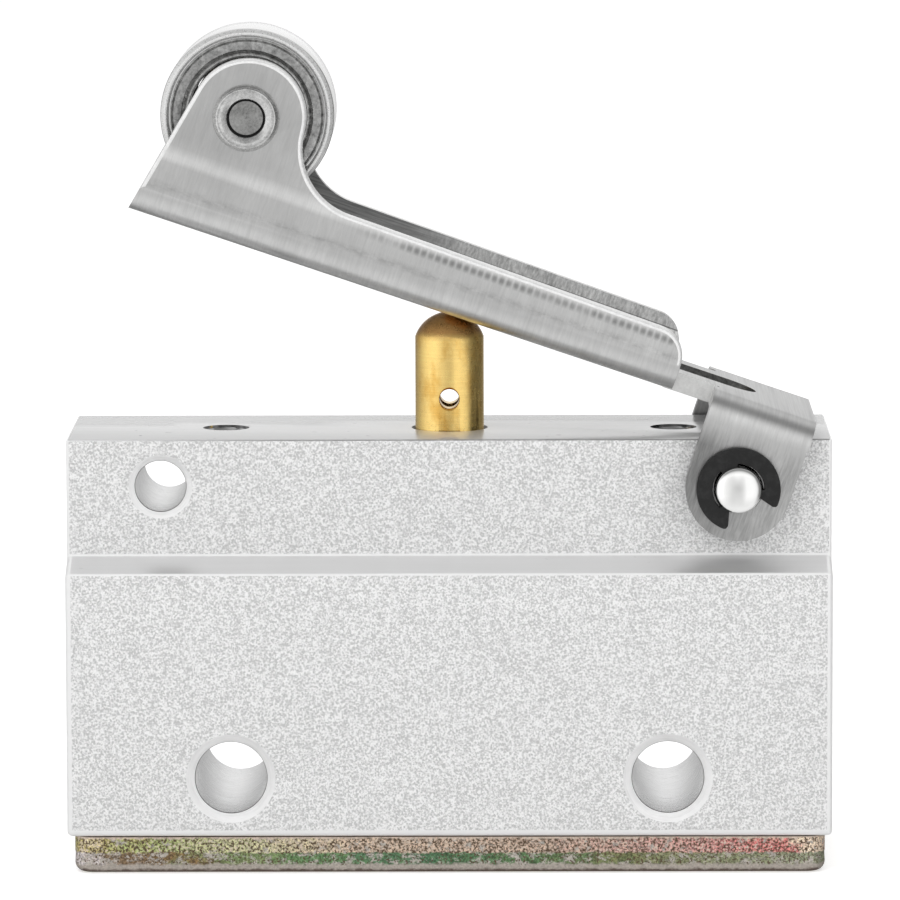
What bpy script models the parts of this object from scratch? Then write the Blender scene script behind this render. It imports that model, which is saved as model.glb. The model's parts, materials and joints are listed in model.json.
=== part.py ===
"""Roller lever air valve, a three-way poppet valve in an aluminium block.

Metres, +Z up. X runs along the block, Y through its thickness and the origin is the
centre of the base plate's underside. The valve is drawn at rest, with the lever up.
"""
import math

import bmesh
import bpy
from mathutils import Matrix

# Fits between pieces
SEAT_GAP = 0.00005
RUNNING_GAP = 0.0001

# Valve block, an extruded bar with a thinner upper part
BLOCK_LENGTH = 0.0480
BLOCK_HEIGHT = 0.0248
LOWER_DEPTH = 0.0180
UPPER_DEPTH = 0.0132
UPPER_HEIGHT = 0.0073
SHOULDER_RISE = 0.00086
EDGE_BREAK = 0.0003

# Cross holes for mounting, low in the block
MOUNT_HOLE_DIAMETER = 0.0045
MOUNT_HOLE_INSET = 0.0103
MOUNT_HOLE_HEIGHT = 0.0037
MOUNT_HOLE_CHAMFER = 0.00055

# Cross holes for the lever's pin, one used and one spare
PIVOT_HOLE_DIAMETER = 0.0032
PIVOT_INSET = 0.0059
PIVOT_BELOW_TOP = 0.00295
PIVOT_HOLE_CHAMFER = 0.0004

# Tapped holes in the top face
TOP_HOLE_DIAMETER = 0.0026
TOP_HOLE_INSET = 0.0098
TOP_HOLE_DEPTH = 0.0060
TOP_HOLE_CHAMFER = 0.00017

# Air ports in the end faces, and the drillings from them to the chambers
PORT_DIAMETER = 0.0088
PORT_DEPTH = 0.0080
PORT_CHAMFER = 0.0006
PORT_ROOF = 0.0006
PASSAGE_DIAMETER = 0.0024
PASSAGE_OFFSET = 0.0029

# Base plate and its countersunk screws
PLATE_SETBACK_X = 0.0004
PLATE_SETBACK_Y = 0.0005
PLATE_THICKNESS = 0.00235
PLATE_CORNER = 0.0012
PLATE_ROLLOVER = 0.0006
SCREW_DIAMETER = 0.0029
SCREW_HEAD_DIAMETER = 0.0055
SCREW_LENGTH = 0.0080
SCREW_SOCKET = 0.0020
SCREW_SOCKET_DEPTH = 0.0009
SCREW_INSET_X = 0.0048
SCREW_INSET_Y = 0.0037

# Inlet chamber, seat and outlet chamber, from below
INLET_DIAMETER = 0.0110
OUTLET_DIAMETER = 0.0070
STEP_ABOVE_PORT = 0.0002
SEAT_THICKNESS = 0.00175
SEAT_LIP_HEIGHT = 0.0004
SEAT_LIP_WIDTH = 0.0005
SEAT_HOLE_DIAMETER = 0.0042
RING_GROOVE_WIDTH = 0.0009
RING_GROOVE_DEPTH = 0.0007
COVER_GROOVE_WIDTH = 0.0016
COVER_GROOVE_DEPTH = 0.0010
COVER_GROOVE_WALL = 0.0006

# Plunger and its guide
PLUNGER_DIAMETER = 0.00435
DOME_RADIUS = 0.0023
GUIDE_LENGTH = 0.0054
GUIDE_CHAMFER = 0.00015
SEAL_WIDTH = 0.0014
SEAL_DEPTH = 0.0011
SEAL_BELOW_TOP = 0.0022
FLANGE_DIAMETER = 0.0064
FLANGE_THICKNESS = 0.0010
STEM_DIAMETER = 0.0030
VENT_BORE_DIAMETER = 0.0018
VENT_DIAMETER = 0.00125
VENT_BELOW_SHOULDER = 0.0038
VENT_CHAMFER = 0.00013
IDLE_TRAVEL = 0.0010

# Poppet
POPPET_DIAMETER = 0.0072
POPPET_FLOOR = 0.0011
POPPET_SPIGOT_DIAMETER = 0.0038
POPPET_SPIGOT_LENGTH = 0.0014
POPPET_SEAL_DIAMETER = 0.0060
POPPET_SEAL_THICKNESS = 0.0012
POPPET_SEAL_STAND = 0.0003

# Springs
POPPET_SPRING_DIAMETER = 0.0050
POPPET_SPRING_WIRE = 0.00056
POPPET_SPRING_PITCH = 0.0015
RETURN_SPRING_DIAMETER = 0.0049
RETURN_SPRING_WIRE = 0.0005
RETURN_SPRING_PITCH = 0.0014
CLOSED_TURN_GAP = 0.0001
COIL_STEPS = 11
WIRE_SIDES = 5

# Lever, one stamping in bent sheet, measured from its pin
SHEET = 0.0012
WEB_ABOVE_PIN = 0.00415
WEB_BEHIND_PIN = 0.0034
STOP_BEVEL = 0.0005
EAR_SPACING = 0.0137
EAR_HALF_WIDTH = 0.0033
EAR_BEND = 0.0019
NECK_WIDTH = 0.0084
CHANNEL_START = 0.00575
CHANNEL_WIDTH = 0.0110
CHANNEL_BEND = 0.00175
WALL_CORNER = 0.0019
WALL_LOW_END = 0.00368
WALL_HIGH_END = 0.00408
LEVER_REACH = 0.04175
SLOT_WIDTH = 0.0038
SLOT_NEAR_END = 0.0004
SLOT_FAR_END = 0.0090
RELIEF_DIAMETER = 0.0007

# Roller axle and the cheeks that hold it
AXLE_REACH = 0.0365
AXLE_ABOVE_PIN = 0.0120
AXLE_DIAMETER = 0.0031
AXLE_HEAD_DIAMETER = 0.0042
AXLE_HEAD_HEIGHT = 0.00055
AXLE_DRILL_DIAMETER = 0.00234
AXLE_DRILL_DEPTH = 0.0010
AXLE_DRILL_POINT = 0.0004
AXLE_RIM_HEIGHT = 0.0004
CHEEK_RADIUS = 0.00362
CHEEK_SETBACK = 0.00012
CHEEK_RISE = 0.00011
CHEEK_FILLET = 0.00435

# Roller, a shielded ball bearing
ROLLER_DIAMETER = 0.01094
ROLLER_WIDTH = 0.0072
ROLLER_CHAMFER = 0.00027
ROLLER_RIM = 0.00054
SHIELD_SEAT = 0.00018
SHIELD_THICKNESS = 0.00025
SHIELD_RECESS = 0.00015
SHIELD_LIP = 0.0003
SHIELD_AIR = 0.00015
BALL_DIAMETER = 0.0016
BALL_COUNT = 8
BALL_GAP = 0.00004
BALL_SINK = 0.0002
CAGE_THICKNESS = 0.0003
CAGE_WIDTH = 0.0024
WASHER_SETBACK = 0.00035

# Pivot pin and its retaining clips
PIN_DIAMETER = 0.0029
PIN_DOME = 0.0006
PIN_END = 0.0001
CLIP_THICKNESS = 0.00045
CLIP_DIAMETER = 0.00526
CLIP_INNER_DIAMETER = 0.00324
CLIP_GROOVE_DIAMETER = 0.0023
CLIP_OPENING_DEG = 90.0
CLIP_PRONG_DEG = 16.0
CLIP_TURN_DEG = -67.0
CLIP_NOSE_DEG = 8.0

# Angles shared by several pieces
DRILL_POINT_DEG = 118.0
SHARP_EDGE_DEG = 30.0

# How finely round shapes are divided
FINE = 40
ROUND = 28
SMALL = 20
INNER = 16
TINY = 12
ARC_STEPS = 8
DOME_STEPS = 6
THROUGH = 0.001

# Levels and places that follow from the sizes above. The raised lever rests with the
# bevelled edge behind its pin on the block's top, which sets its angle.
block_bottom = PLATE_THICKNESS + SEAT_GAP
block_top = block_bottom + BLOCK_HEIGHT
plate_length = BLOCK_LENGTH - 2 * PLATE_SETBACK_X
plate_depth = LOWER_DEPTH - 2 * PLATE_SETBACK_Y
shoulder_high = block_top - UPPER_HEIGHT
shoulder_low = shoulder_high - SHOULDER_RISE
pivot_x = BLOCK_LENGTH / 2 - PIVOT_INSET
pivot_z = block_top - PIVOT_BELOW_TOP
stop_angle = math.atan2(WEB_BEHIND_PIN - STOP_BEVEL, WEB_ABOVE_PIN)
stop_reach = math.hypot(WEB_BEHIND_PIN - STOP_BEVEL, WEB_ABOVE_PIN)
lever_angle = math.acos((PIVOT_BELOW_TOP + SEAT_GAP) / stop_reach) - stop_angle
web_low = WEB_ABOVE_PIN
web_high = WEB_ABOVE_PIN + SHEET
port_z = shoulder_low - PORT_ROOF - PORT_DIAMETER / 2
seat_top = port_z + STEP_ABOVE_PORT
seat_face = seat_top - SEAT_GAP - SEAT_THICKNESS - SEAT_LIP_HEIGHT
outlet_roof = block_top - GUIDE_LENGTH
guide_radius = PLUNGER_DIAMETER / 2 + RUNNING_GAP
poppet_face = seat_face - SEAT_GAP
poppet_rim = poppet_face - POPPET_SEAL_STAND
poppet_base = poppet_face - POPPET_SEAL_THICKNESS - SEAT_GAP - POPPET_FLOOR
plunger_tip = poppet_face + IDLE_TRAVEL
flange_low = outlet_roof - SEAT_GAP - FLANGE_THICKNESS
outer_land = ROLLER_DIAMETER / 2 - ROLLER_RIM
race_land = outer_land - SHIELD_SEAT
ball_pitch = race_land - BALL_DIAMETER / 2 + BALL_SINK
inner_land = ball_pitch - BALL_DIAMETER / 2 + BALL_SINK


def clear_scene():
    for item in list(bpy.data.objects):
        bpy.data.objects.remove(item, do_unlink=True)


def paint(name, color, roughness, metallic):
    material = bpy.data.materials.new(name)
    material.use_nodes = True
    shader = material.node_tree.nodes["Principled BSDF"]
    shader.inputs["Base Color"].default_value = (*color, 1.0)
    shader.inputs["Roughness"].default_value = roughness
    shader.inputs["Metallic"].default_value = metallic
    return material


def arc(center, radius, start_deg, end_deg, steps):
    """Points along a circle, from one angle to another."""
    points = []
    for step in range(steps + 1):
        angle = math.radians(start_deg + (end_deg - start_deg) * step / steps)
        points.append((center[0] + radius * math.cos(angle), center[1] + radius * math.sin(angle)))
    return points


def turned(profile, sides):
    """A solid turned about Z from (radius, height) points, closed on itself or on the axis."""
    shape = bmesh.new()
    rings = []
    for radius, height in profile:
        if radius == 0:
            rings.append([shape.verts.new((0, 0, height))])
            continue
        ring = []
        for x, y in arc((0, 0), radius, 0, 360, sides)[:sides]:
            ring.append(shape.verts.new((x, y, height)))
        rings.append(ring)
    for upper, lower in zip(rings, rings[1:] + rings[:1]):
        if len(upper) == 1 and len(lower) == 1:
            continue
        for side in range(sides):
            after = side + 1
            corners = [upper[side % len(upper)], upper[after % len(upper)]]
            corners += [lower[after % len(lower)], lower[side % len(lower)]]
            shape.faces.new(list(dict.fromkeys(corners)))
    bmesh.ops.recalc_face_normals(shape, faces=shape.faces)
    return shape


def prism(outline, low, high, axis):
    """An outline in the two other axes, in X, Y, Z order, extruded along one axis."""
    shape = bmesh.new()
    ends = []
    for level in (low, high):
        corners = []
        for first, second in outline:
            place = {"X": (level, first, second), "Y": (first, level, second), "Z": (first, second, level)}
            corners.append(shape.verts.new(place[axis]))
        ends.append(corners)
    shape.faces.new(ends[0])
    shape.faces.new(ends[1])
    count = len(outline)
    for index in range(count):
        after = (index + 1) % count
        shape.faces.new((ends[0][index], ends[0][after], ends[1][after], ends[1][index]))
    bmesh.ops.recalc_face_normals(shape, faces=shape.faces)
    return shape


def along_y(shape):
    """Turns a shape about Z into one about Y, heights becoming Y."""
    bmesh.ops.rotate(shape, verts=shape.verts, matrix=Matrix.Rotation(math.radians(-90), 3, "X"))
    return shape


def along_x(shape):
    """Turns a shape about Z into one about X, heights becoming X."""
    bmesh.ops.rotate(shape, verts=shape.verts, matrix=Matrix.Rotation(math.radians(90), 3, "Y"))
    return shape


def moved(shape, x, y, z):
    bmesh.ops.translate(shape, verts=shape.verts, vec=(x, y, z))
    return shape


def add_solid(name, shape):
    mesh = bpy.data.meshes.new(name)
    shape.to_mesh(mesh)
    shape.free()
    solid = bpy.data.objects.new(name, mesh)
    bpy.context.scene.collection.objects.link(solid)
    return solid


def combine(solid, tool_shape, operation):
    """Applies one exact Boolean with a tool shape that is then thrown away."""
    tool = add_solid("tool", tool_shape)
    step = solid.modifiers.new("step", "BOOLEAN")
    step.operation = operation
    step.solver = "EXACT"
    step.object = tool
    graph = bpy.context.evaluated_depsgraph_get()
    result = bpy.data.meshes.new_from_object(solid.evaluated_get(graph))
    solid.modifiers.clear()
    solid.data = result
    bpy.data.objects.remove(tool, do_unlink=True)


def cut(solid, tool_shape):
    combine(solid, tool_shape, "DIFFERENCE")


def finish(solid, material, parent=None, location=(0, 0, 0)):
    solid.data.name = solid.name
    solid.data.materials.clear()
    solid.data.materials.append(material)
    solid.data.shade_smooth()
    solid.data.set_sharp_from_angle(angle=math.radians(SHARP_EDGE_DEG))
    solid.parent = parent
    solid.location = location


def add_frame(name, location, parent=None):
    """An empty on a joint's axis, which carries the pieces that move on it."""
    frame = bpy.data.objects.new(name, None)
    bpy.context.scene.collection.objects.link(frame)
    frame.location = location
    frame.parent = parent
    return frame


def through_hole(radius, half_length, chamfer, sides):
    """A cutter about Z for a hole with a 45 degree chamfer at both mouths."""
    reach = half_length + THROUGH
    mouth = radius + chamfer + THROUGH
    profile = [(0, reach), (mouth, reach), (radius, half_length - chamfer)]
    profile += [(radius, chamfer - half_length), (mouth, -reach), (0, -reach)]
    return turned(profile, sides)


def blind_hole(radius, depth, chamfer, sides):
    """A cutter about Z, mouth up at height 0, with a drilled point at the bottom."""
    point = radius / math.tan(math.radians(DRILL_POINT_DEG / 2))
    profile = [(0, THROUGH), (radius + chamfer + THROUGH, THROUGH), (radius, -chamfer)]
    profile += [(radius, -depth), (0, -depth - point)]
    return turned(profile, sides)


def oval_ring(inner, outer, low, high, sides):
    """A rubber ring whose section is an oval between two radii and two heights."""
    half_width = (outer - inner) / 2
    half_height = (high - low) / 2
    profile = []
    for x, z in arc((0, 0), 1, 0, 360, ARC_STEPS)[:ARC_STEPS]:
        profile.append((inner + half_width * (1 + x), low + half_height * (1 + z)))
    return turned(profile, sides)


def coil(radius, wire, low, high, free_pitch):
    """Round wire wound about Z, with one close turn at each end and half turns to fill the height."""
    shape = bmesh.new()
    close_pitch = wire + CLOSED_TURN_GAP
    open_height = high - low - wire - 2 * close_pitch
    turns = 2 + round(2 * open_height / free_pitch) / 2
    steps = int(turns * COIL_STEPS)
    open_pitch = open_height / (turns - 2)
    rings = []
    for step in range(steps + 1):
        turn = step / COIL_STEPS
        open_turns = min(max(turn - 1, 0), turns - 2)
        pitch = open_pitch if 1 <= turn <= turns - 1 else close_pitch
        height = low + wire / 2 + (turn - open_turns) * close_pitch + open_turns * open_pitch
        angle = 2 * math.pi * turn
        slope = math.atan2(pitch, 2 * math.pi * radius)
        ring = []
        for out, up in arc((0, 0), wire / 2, 0, 360, WIRE_SIDES)[:WIRE_SIDES]:
            reach = radius + out
            lean = -math.sin(slope) * up
            x = reach * math.cos(angle) - lean * math.sin(angle)
            y = reach * math.sin(angle) + lean * math.cos(angle)
            ring.append(shape.verts.new((x, y, height + up * math.cos(slope))))
        rings.append(ring)
    shape.faces.new(rings[0])
    shape.faces.new(rings[-1])
    for before, after in zip(rings, rings[1:]):
        for side in range(WIRE_SIDES):
            beside = (side + 1) % WIRE_SIDES
            shape.faces.new((before[side], before[beside], after[beside], after[side]))
    bmesh.ops.recalc_face_normals(shape, faces=shape.faces)
    return shape


def stadium(near, far, half_width):
    """A slot's outline along X, from its rounded near end to its rounded far end."""
    outline = arc((far - half_width, 0), half_width, -90, 90, ARC_STEPS)
    return outline + arc((near + half_width, 0), half_width, 90, 270, ARC_STEPS)


def screw_places():
    x = plate_length / 2 - SCREW_INSET_X
    y = plate_depth / 2 - SCREW_INSET_Y
    return {"front_left": (-x, -y), "front_right": (x, -y), "rear_left": (-x, y), "rear_right": (x, y)}


def build_valve_block(material):
    low_y = LOWER_DEPTH / 2
    high_y = UPPER_DEPTH / 2
    half_section = [(low_y, block_bottom), (low_y, shoulder_low), (high_y, shoulder_high), (high_y, block_top)]
    section = half_section + [(-y, z) for y, z in reversed(half_section)]
    shape = prism(section, -BLOCK_LENGTH / 2, BLOCK_LENGTH / 2, "X")
    bmesh.ops.bevel(shape, geom=shape.edges[:], offset=EDGE_BREAK, segments=1, profile=0.5, affect="EDGES")
    block = add_solid("valve_body", shape)

    seal_top = block_top - SEAL_BELOW_TOP
    seal_low = seal_top - SEAL_WIDTH
    groove = guide_radius + SEAL_DEPTH
    mouth = guide_radius + GUIDE_CHAMFER + THROUGH
    bore = [(0, block_top + THROUGH), (mouth, block_top + THROUGH), (guide_radius, block_top - GUIDE_CHAMFER)]
    bore += [(guide_radius, seal_top), (groove, seal_top), (groove, seal_low), (guide_radius, seal_low)]
    bore += [(guide_radius, outlet_roof), (OUTLET_DIAMETER / 2, outlet_roof), (OUTLET_DIAMETER / 2, seat_top)]
    bore += [(INLET_DIAMETER / 2, seat_top), (INLET_DIAMETER / 2, block_bottom - THROUGH)]
    bore += [(0, block_bottom - THROUGH)]
    cut(block, turned(bore, SMALL))

    groove_inner = INLET_DIAMETER / 2 + COVER_GROOVE_WALL
    groove_outer = groove_inner + COVER_GROOVE_WIDTH
    groove_roof = block_bottom + COVER_GROOVE_DEPTH
    groove_floor = block_bottom - THROUGH
    ring = [(groove_inner, groove_roof), (groove_outer, groove_roof), (groove_outer, groove_floor)]
    cut(block, turned(ring + [(groove_inner, groove_floor)], SMALL))

    for side in (-1, 1):
        hole = through_hole(MOUNT_HOLE_DIAMETER / 2, low_y, MOUNT_HOLE_CHAMFER, ROUND)
        mount_x = side * (BLOCK_LENGTH / 2 - MOUNT_HOLE_INSET)
        cut(block, moved(along_y(hole), mount_x, 0, block_bottom + MOUNT_HOLE_HEIGHT))
        hole = through_hole(PIVOT_HOLE_DIAMETER / 2, high_y, PIVOT_HOLE_CHAMFER, ROUND)
        cut(block, moved(along_y(hole), side * pivot_x, 0, pivot_z))
        hole = blind_hole(TOP_HOLE_DIAMETER / 2, TOP_HOLE_DEPTH, TOP_HOLE_CHAMFER, SMALL)
        cut(block, moved(hole, side * (BLOCK_LENGTH / 2 - TOP_HOLE_INSET), 0, block_top))

        port = [(0, THROUGH), (PORT_DIAMETER / 2 + PORT_CHAMFER + THROUGH, THROUGH)]
        port += [(PORT_DIAMETER / 2, -PORT_CHAMFER), (PORT_DIAMETER / 2, -PORT_DEPTH), (0, -PORT_DEPTH)]
        port = along_x(turned(port, ROUND))
        if side < 0:
            bmesh.ops.rotate(port, verts=port.verts, matrix=Matrix.Rotation(math.pi, 3, "Z"))
        cut(block, moved(port, side * BLOCK_LENGTH / 2, 0, port_z))
        passage_end = BLOCK_LENGTH / 2 - PORT_DEPTH + THROUGH
        passage = [(0, passage_end), (PASSAGE_DIAMETER / 2, passage_end), (PASSAGE_DIAMETER / 2, THROUGH)]
        passage = along_x(turned(passage + [(0, THROUGH)], INNER))
        if side < 0:
            bmesh.ops.rotate(passage, verts=passage.verts, matrix=Matrix.Rotation(math.pi, 3, "Z"))
        cut(block, moved(passage, 0, 0, port_z + side * PASSAGE_OFFSET))

    for x, y in screw_places().values():
        depth = SCREW_LENGTH - block_bottom + SEAT_GAP + SCREW_DIAMETER / 4
        hole = blind_hole(SCREW_DIAMETER / 2 + RUNNING_GAP, depth, 0, TINY)
        bmesh.ops.rotate(hole, verts=hole.verts, matrix=Matrix.Rotation(math.pi, 3, "X"))
        cut(block, moved(hole, x, y, block_bottom))
    finish(block, material)


def build_base_plate(material):
    x = plate_length / 2 - PLATE_CORNER
    y = plate_depth / 2 - PLATE_CORNER
    outline = []
    for corner_x, corner_y, start in ((x, y, 0), (-x, y, 90), (-x, -y, 180), (x, -y, 270)):
        outline += arc((corner_x, corner_y), PLATE_CORNER, start, start + 90, ARC_STEPS // 2)
    shape = prism(outline, 0, PLATE_THICKNESS, "Z")
    lower_edges = []
    for edge in shape.edges:
        if edge.verts[0].co.z < SEAT_GAP and edge.verts[1].co.z < SEAT_GAP:
            lower_edges.append(edge)
    bmesh.ops.bevel(shape, geom=lower_edges, offset=PLATE_ROLLOVER, segments=3, profile=0.5, affect="EDGES")
    plate = add_solid("base_plate", shape)
    shank = SCREW_DIAMETER / 2 + RUNNING_GAP
    head = SCREW_HEAD_DIAMETER / 2 + RUNNING_GAP
    for x, y in screw_places().values():
        hole = [(0, -THROUGH), (head + THROUGH, -THROUGH), (shank, head - shank)]
        hole += [(shank, PLATE_THICKNESS + THROUGH), (0, PLATE_THICKNESS + THROUGH)]
        cut(plate, moved(turned(hole, INNER), x, y, 0))
    finish(plate, material)


def build_base_screws(material):
    radius = SCREW_DIAMETER / 2
    head = SCREW_HEAD_DIAMETER / 2
    for place, (x, y) in screw_places().items():
        profile = [(0, SEAT_GAP), (head - SEAT_GAP, SEAT_GAP), (radius, head - radius)]
        profile += [(radius, SCREW_LENGTH - radius / 2), (radius / 2, SCREW_LENGTH), (0, SCREW_LENGTH)]
        screw = add_solid("base_screw_" + place, turned(profile, INNER))
        socket = [(0, -THROUGH), (SCREW_SOCKET / 2, -THROUGH), (SCREW_SOCKET / 2, SCREW_SOCKET_DEPTH)]
        cut(screw, turned(socket + [(0, SCREW_SOCKET_DEPTH)], 6))
        finish(screw, material, location=(x, y, 0))


def build_seat(brass, rubber):
    radius = INLET_DIAMETER / 2 - SEAT_GAP
    hole = SEAT_HOLE_DIAMETER / 2
    high = seat_top - SEAT_GAP
    low = high - SEAT_THICKNESS
    middle = (high + low) / 2
    groove_high = middle + RING_GROOVE_WIDTH / 2
    groove_low = middle - RING_GROOVE_WIDTH / 2
    groove = radius - RING_GROOVE_DEPTH
    profile = [(hole, high), (radius, high), (radius, groove_high), (groove, groove_high)]
    profile += [(groove, groove_low), (radius, groove_low), (radius, low), (hole + SEAT_LIP_WIDTH, low)]
    profile += [(hole + SEAT_LIP_WIDTH / 2, seat_face), (hole, seat_face)]
    finish(add_solid("seat_insert", turned(profile, SMALL)), brass)
    ring = oval_ring(groove + RUNNING_GAP, radius, groove_low + SEAT_GAP, groove_high - SEAT_GAP, SMALL)
    finish(add_solid("seat_o_ring", ring), rubber)


def build_fixed_seals(rubber):
    inner = INLET_DIAMETER / 2 + COVER_GROOVE_WALL + SEAT_GAP
    outer = inner + COVER_GROOVE_WIDTH - 2 * SEAT_GAP
    roof = block_bottom + COVER_GROOVE_DEPTH - SEAT_GAP
    finish(add_solid("cover_o_ring", oval_ring(inner, outer, block_bottom, roof, SMALL)), rubber)
    inner = PLUNGER_DIAMETER / 2 + SEAT_GAP
    outer = guide_radius + SEAL_DEPTH - SEAT_GAP
    high = block_top - SEAL_BELOW_TOP - SEAT_GAP
    low = high - SEAL_WIDTH + 2 * SEAT_GAP
    finish(add_solid("plunger_seal", oval_ring(inner, outer, low, high, SMALL)), rubber)


def dome_center_height():
    """Height at which the dome just clears the lever's underside, on the block's centre line."""
    reach = WEB_ABOVE_PIN - DOME_RADIUS - SEAT_GAP
    return pivot_z + reach / math.cos(lever_angle) + pivot_x * math.tan(lever_angle)


def build_plunger(brass):
    radius = PLUNGER_DIAMETER / 2
    dome_z = dome_center_height()
    edge_deg = math.degrees(math.acos(radius / DOME_RADIUS))
    shoulder = dome_z + DOME_RADIUS * math.sin(math.radians(edge_deg))
    vent_z = shoulder - VENT_BELOW_SHOULDER
    bore_roof = vent_z + VENT_BORE_DIAMETER / 2
    profile = [(0, dome_z + DOME_RADIUS)]
    profile += arc((0, dome_z), DOME_RADIUS, 90, edge_deg, DOME_STEPS)[1:]
    profile += [(radius, flange_low + FLANGE_THICKNESS), (FLANGE_DIAMETER / 2, flange_low + FLANGE_THICKNESS)]
    profile += [(FLANGE_DIAMETER / 2, flange_low), (STEM_DIAMETER / 2, flange_low)]
    profile += [(STEM_DIAMETER / 2, plunger_tip), (VENT_BORE_DIAMETER / 2, plunger_tip)]
    profile += [(VENT_BORE_DIAMETER / 2, bore_roof)]
    profile += [(0, bore_roof + VENT_BORE_DIAMETER / 4)]
    plunger = add_solid("plunger", turned(profile, SMALL))
    vent = through_hole(VENT_DIAMETER / 2, radius, VENT_CHAMFER, TINY)
    cut(plunger, moved(along_y(vent), 0, 0, vent_z))
    finish(plunger, brass)


def build_poppet(brass, rubber):
    radius = POPPET_DIAMETER / 2
    recess = POPPET_SEAL_DIAMETER / 2 + SEAT_GAP
    floor = poppet_base + POPPET_FLOOR
    spigot = POPPET_SPIGOT_DIAMETER / 2
    profile = [(0, floor), (recess, floor), (recess, poppet_rim), (radius, poppet_rim), (radius, poppet_base)]
    profile += [(spigot, poppet_base), (spigot, poppet_base - POPPET_SPIGOT_LENGTH)]
    profile += [(0, poppet_base - POPPET_SPIGOT_LENGTH)]
    finish(add_solid("poppet_body", turned(profile, INNER)), brass)
    seal = POPPET_SEAL_DIAMETER / 2
    disc = [(0, poppet_face), (seal, poppet_face), (seal, floor + SEAT_GAP), (0, floor + SEAT_GAP)]
    finish(add_solid("poppet_seal", turned(disc, INNER)), rubber)


def build_springs(steel):
    low = PLATE_THICKNESS + SEAT_GAP
    high = poppet_base - SEAT_GAP
    spring = coil(POPPET_SPRING_DIAMETER / 2, POPPET_SPRING_WIRE, low, high, POPPET_SPRING_PITCH)
    finish(add_solid("poppet_spring", spring), steel)
    low = seat_top
    high = flange_low - SEAT_GAP
    spring = coil(RETURN_SPRING_DIAMETER / 2, RETURN_SPRING_WIRE, low, high, RETURN_SPRING_PITCH)
    finish(add_solid("plunger_spring", spring), steel)


def bent_section(half_width, base, tip, bend):
    """Section of a U bent in sheet: the web's outer face lies at base, the legs end at tip."""
    way = 1 if tip > base else -1
    legs = []
    for radius, leg in ((bend, half_width), (bend - SHEET, half_width - SHEET)):
        side = [(leg, tip)]
        for out, drop in arc((0, 0), radius, 0, 90, ARC_STEPS // 2):
            side.append((half_width - bend + out, base + way * (bend - drop)))
        legs.append(side)
    outer, inner = legs
    section = outer + [(-y, z) for y, z in reversed(outer)]
    return section + [(-y, z) for y, z in inner] + list(reversed(inner))


def wall_outline():
    """Side view of the channel and its cheeks, with X running back towards the pin."""
    cheek = (CHEEK_SETBACK - AXLE_REACH, AXLE_ABOVE_PIN + CHEEK_RISE)
    low_top = web_low + WALL_LOW_END
    high_top = web_low + WALL_HIGH_END
    outline = [(-CHANNEL_START, web_low - THROUGH)]
    outline += arc((-CHANNEL_START - WALL_CORNER, low_top - WALL_CORNER), WALL_CORNER, 0, 90, ARC_STEPS // 2)
    rise = high_top + CHEEK_FILLET - cheek[1]
    run = math.sqrt((CHEEK_FILLET + CHEEK_RADIUS) ** 2 - rise ** 2)
    fillet = (cheek[0] + run, high_top + CHEEK_FILLET)
    meet_deg = math.degrees(math.atan2(rise, run))
    outline += arc(fillet, CHEEK_FILLET, -90, meet_deg - 180, ARC_STEPS)
    corner = (-LEVER_REACH, web_low)
    distance = math.hypot(cheek[0] - corner[0], cheek[1] - corner[1])
    edge_deg = math.degrees(math.atan2(cheek[1] - corner[1], cheek[0] - corner[0]))
    edge_deg += math.degrees(math.asin(CHEEK_RADIUS / distance))
    outline += arc(cheek, CHEEK_RADIUS, meet_deg, edge_deg + 90, 2 * ARC_STEPS)
    foot = THROUGH / math.tan(math.radians(edge_deg))
    outline.append((corner[0] - foot, corner[1] - THROUGH))
    return outline


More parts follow.
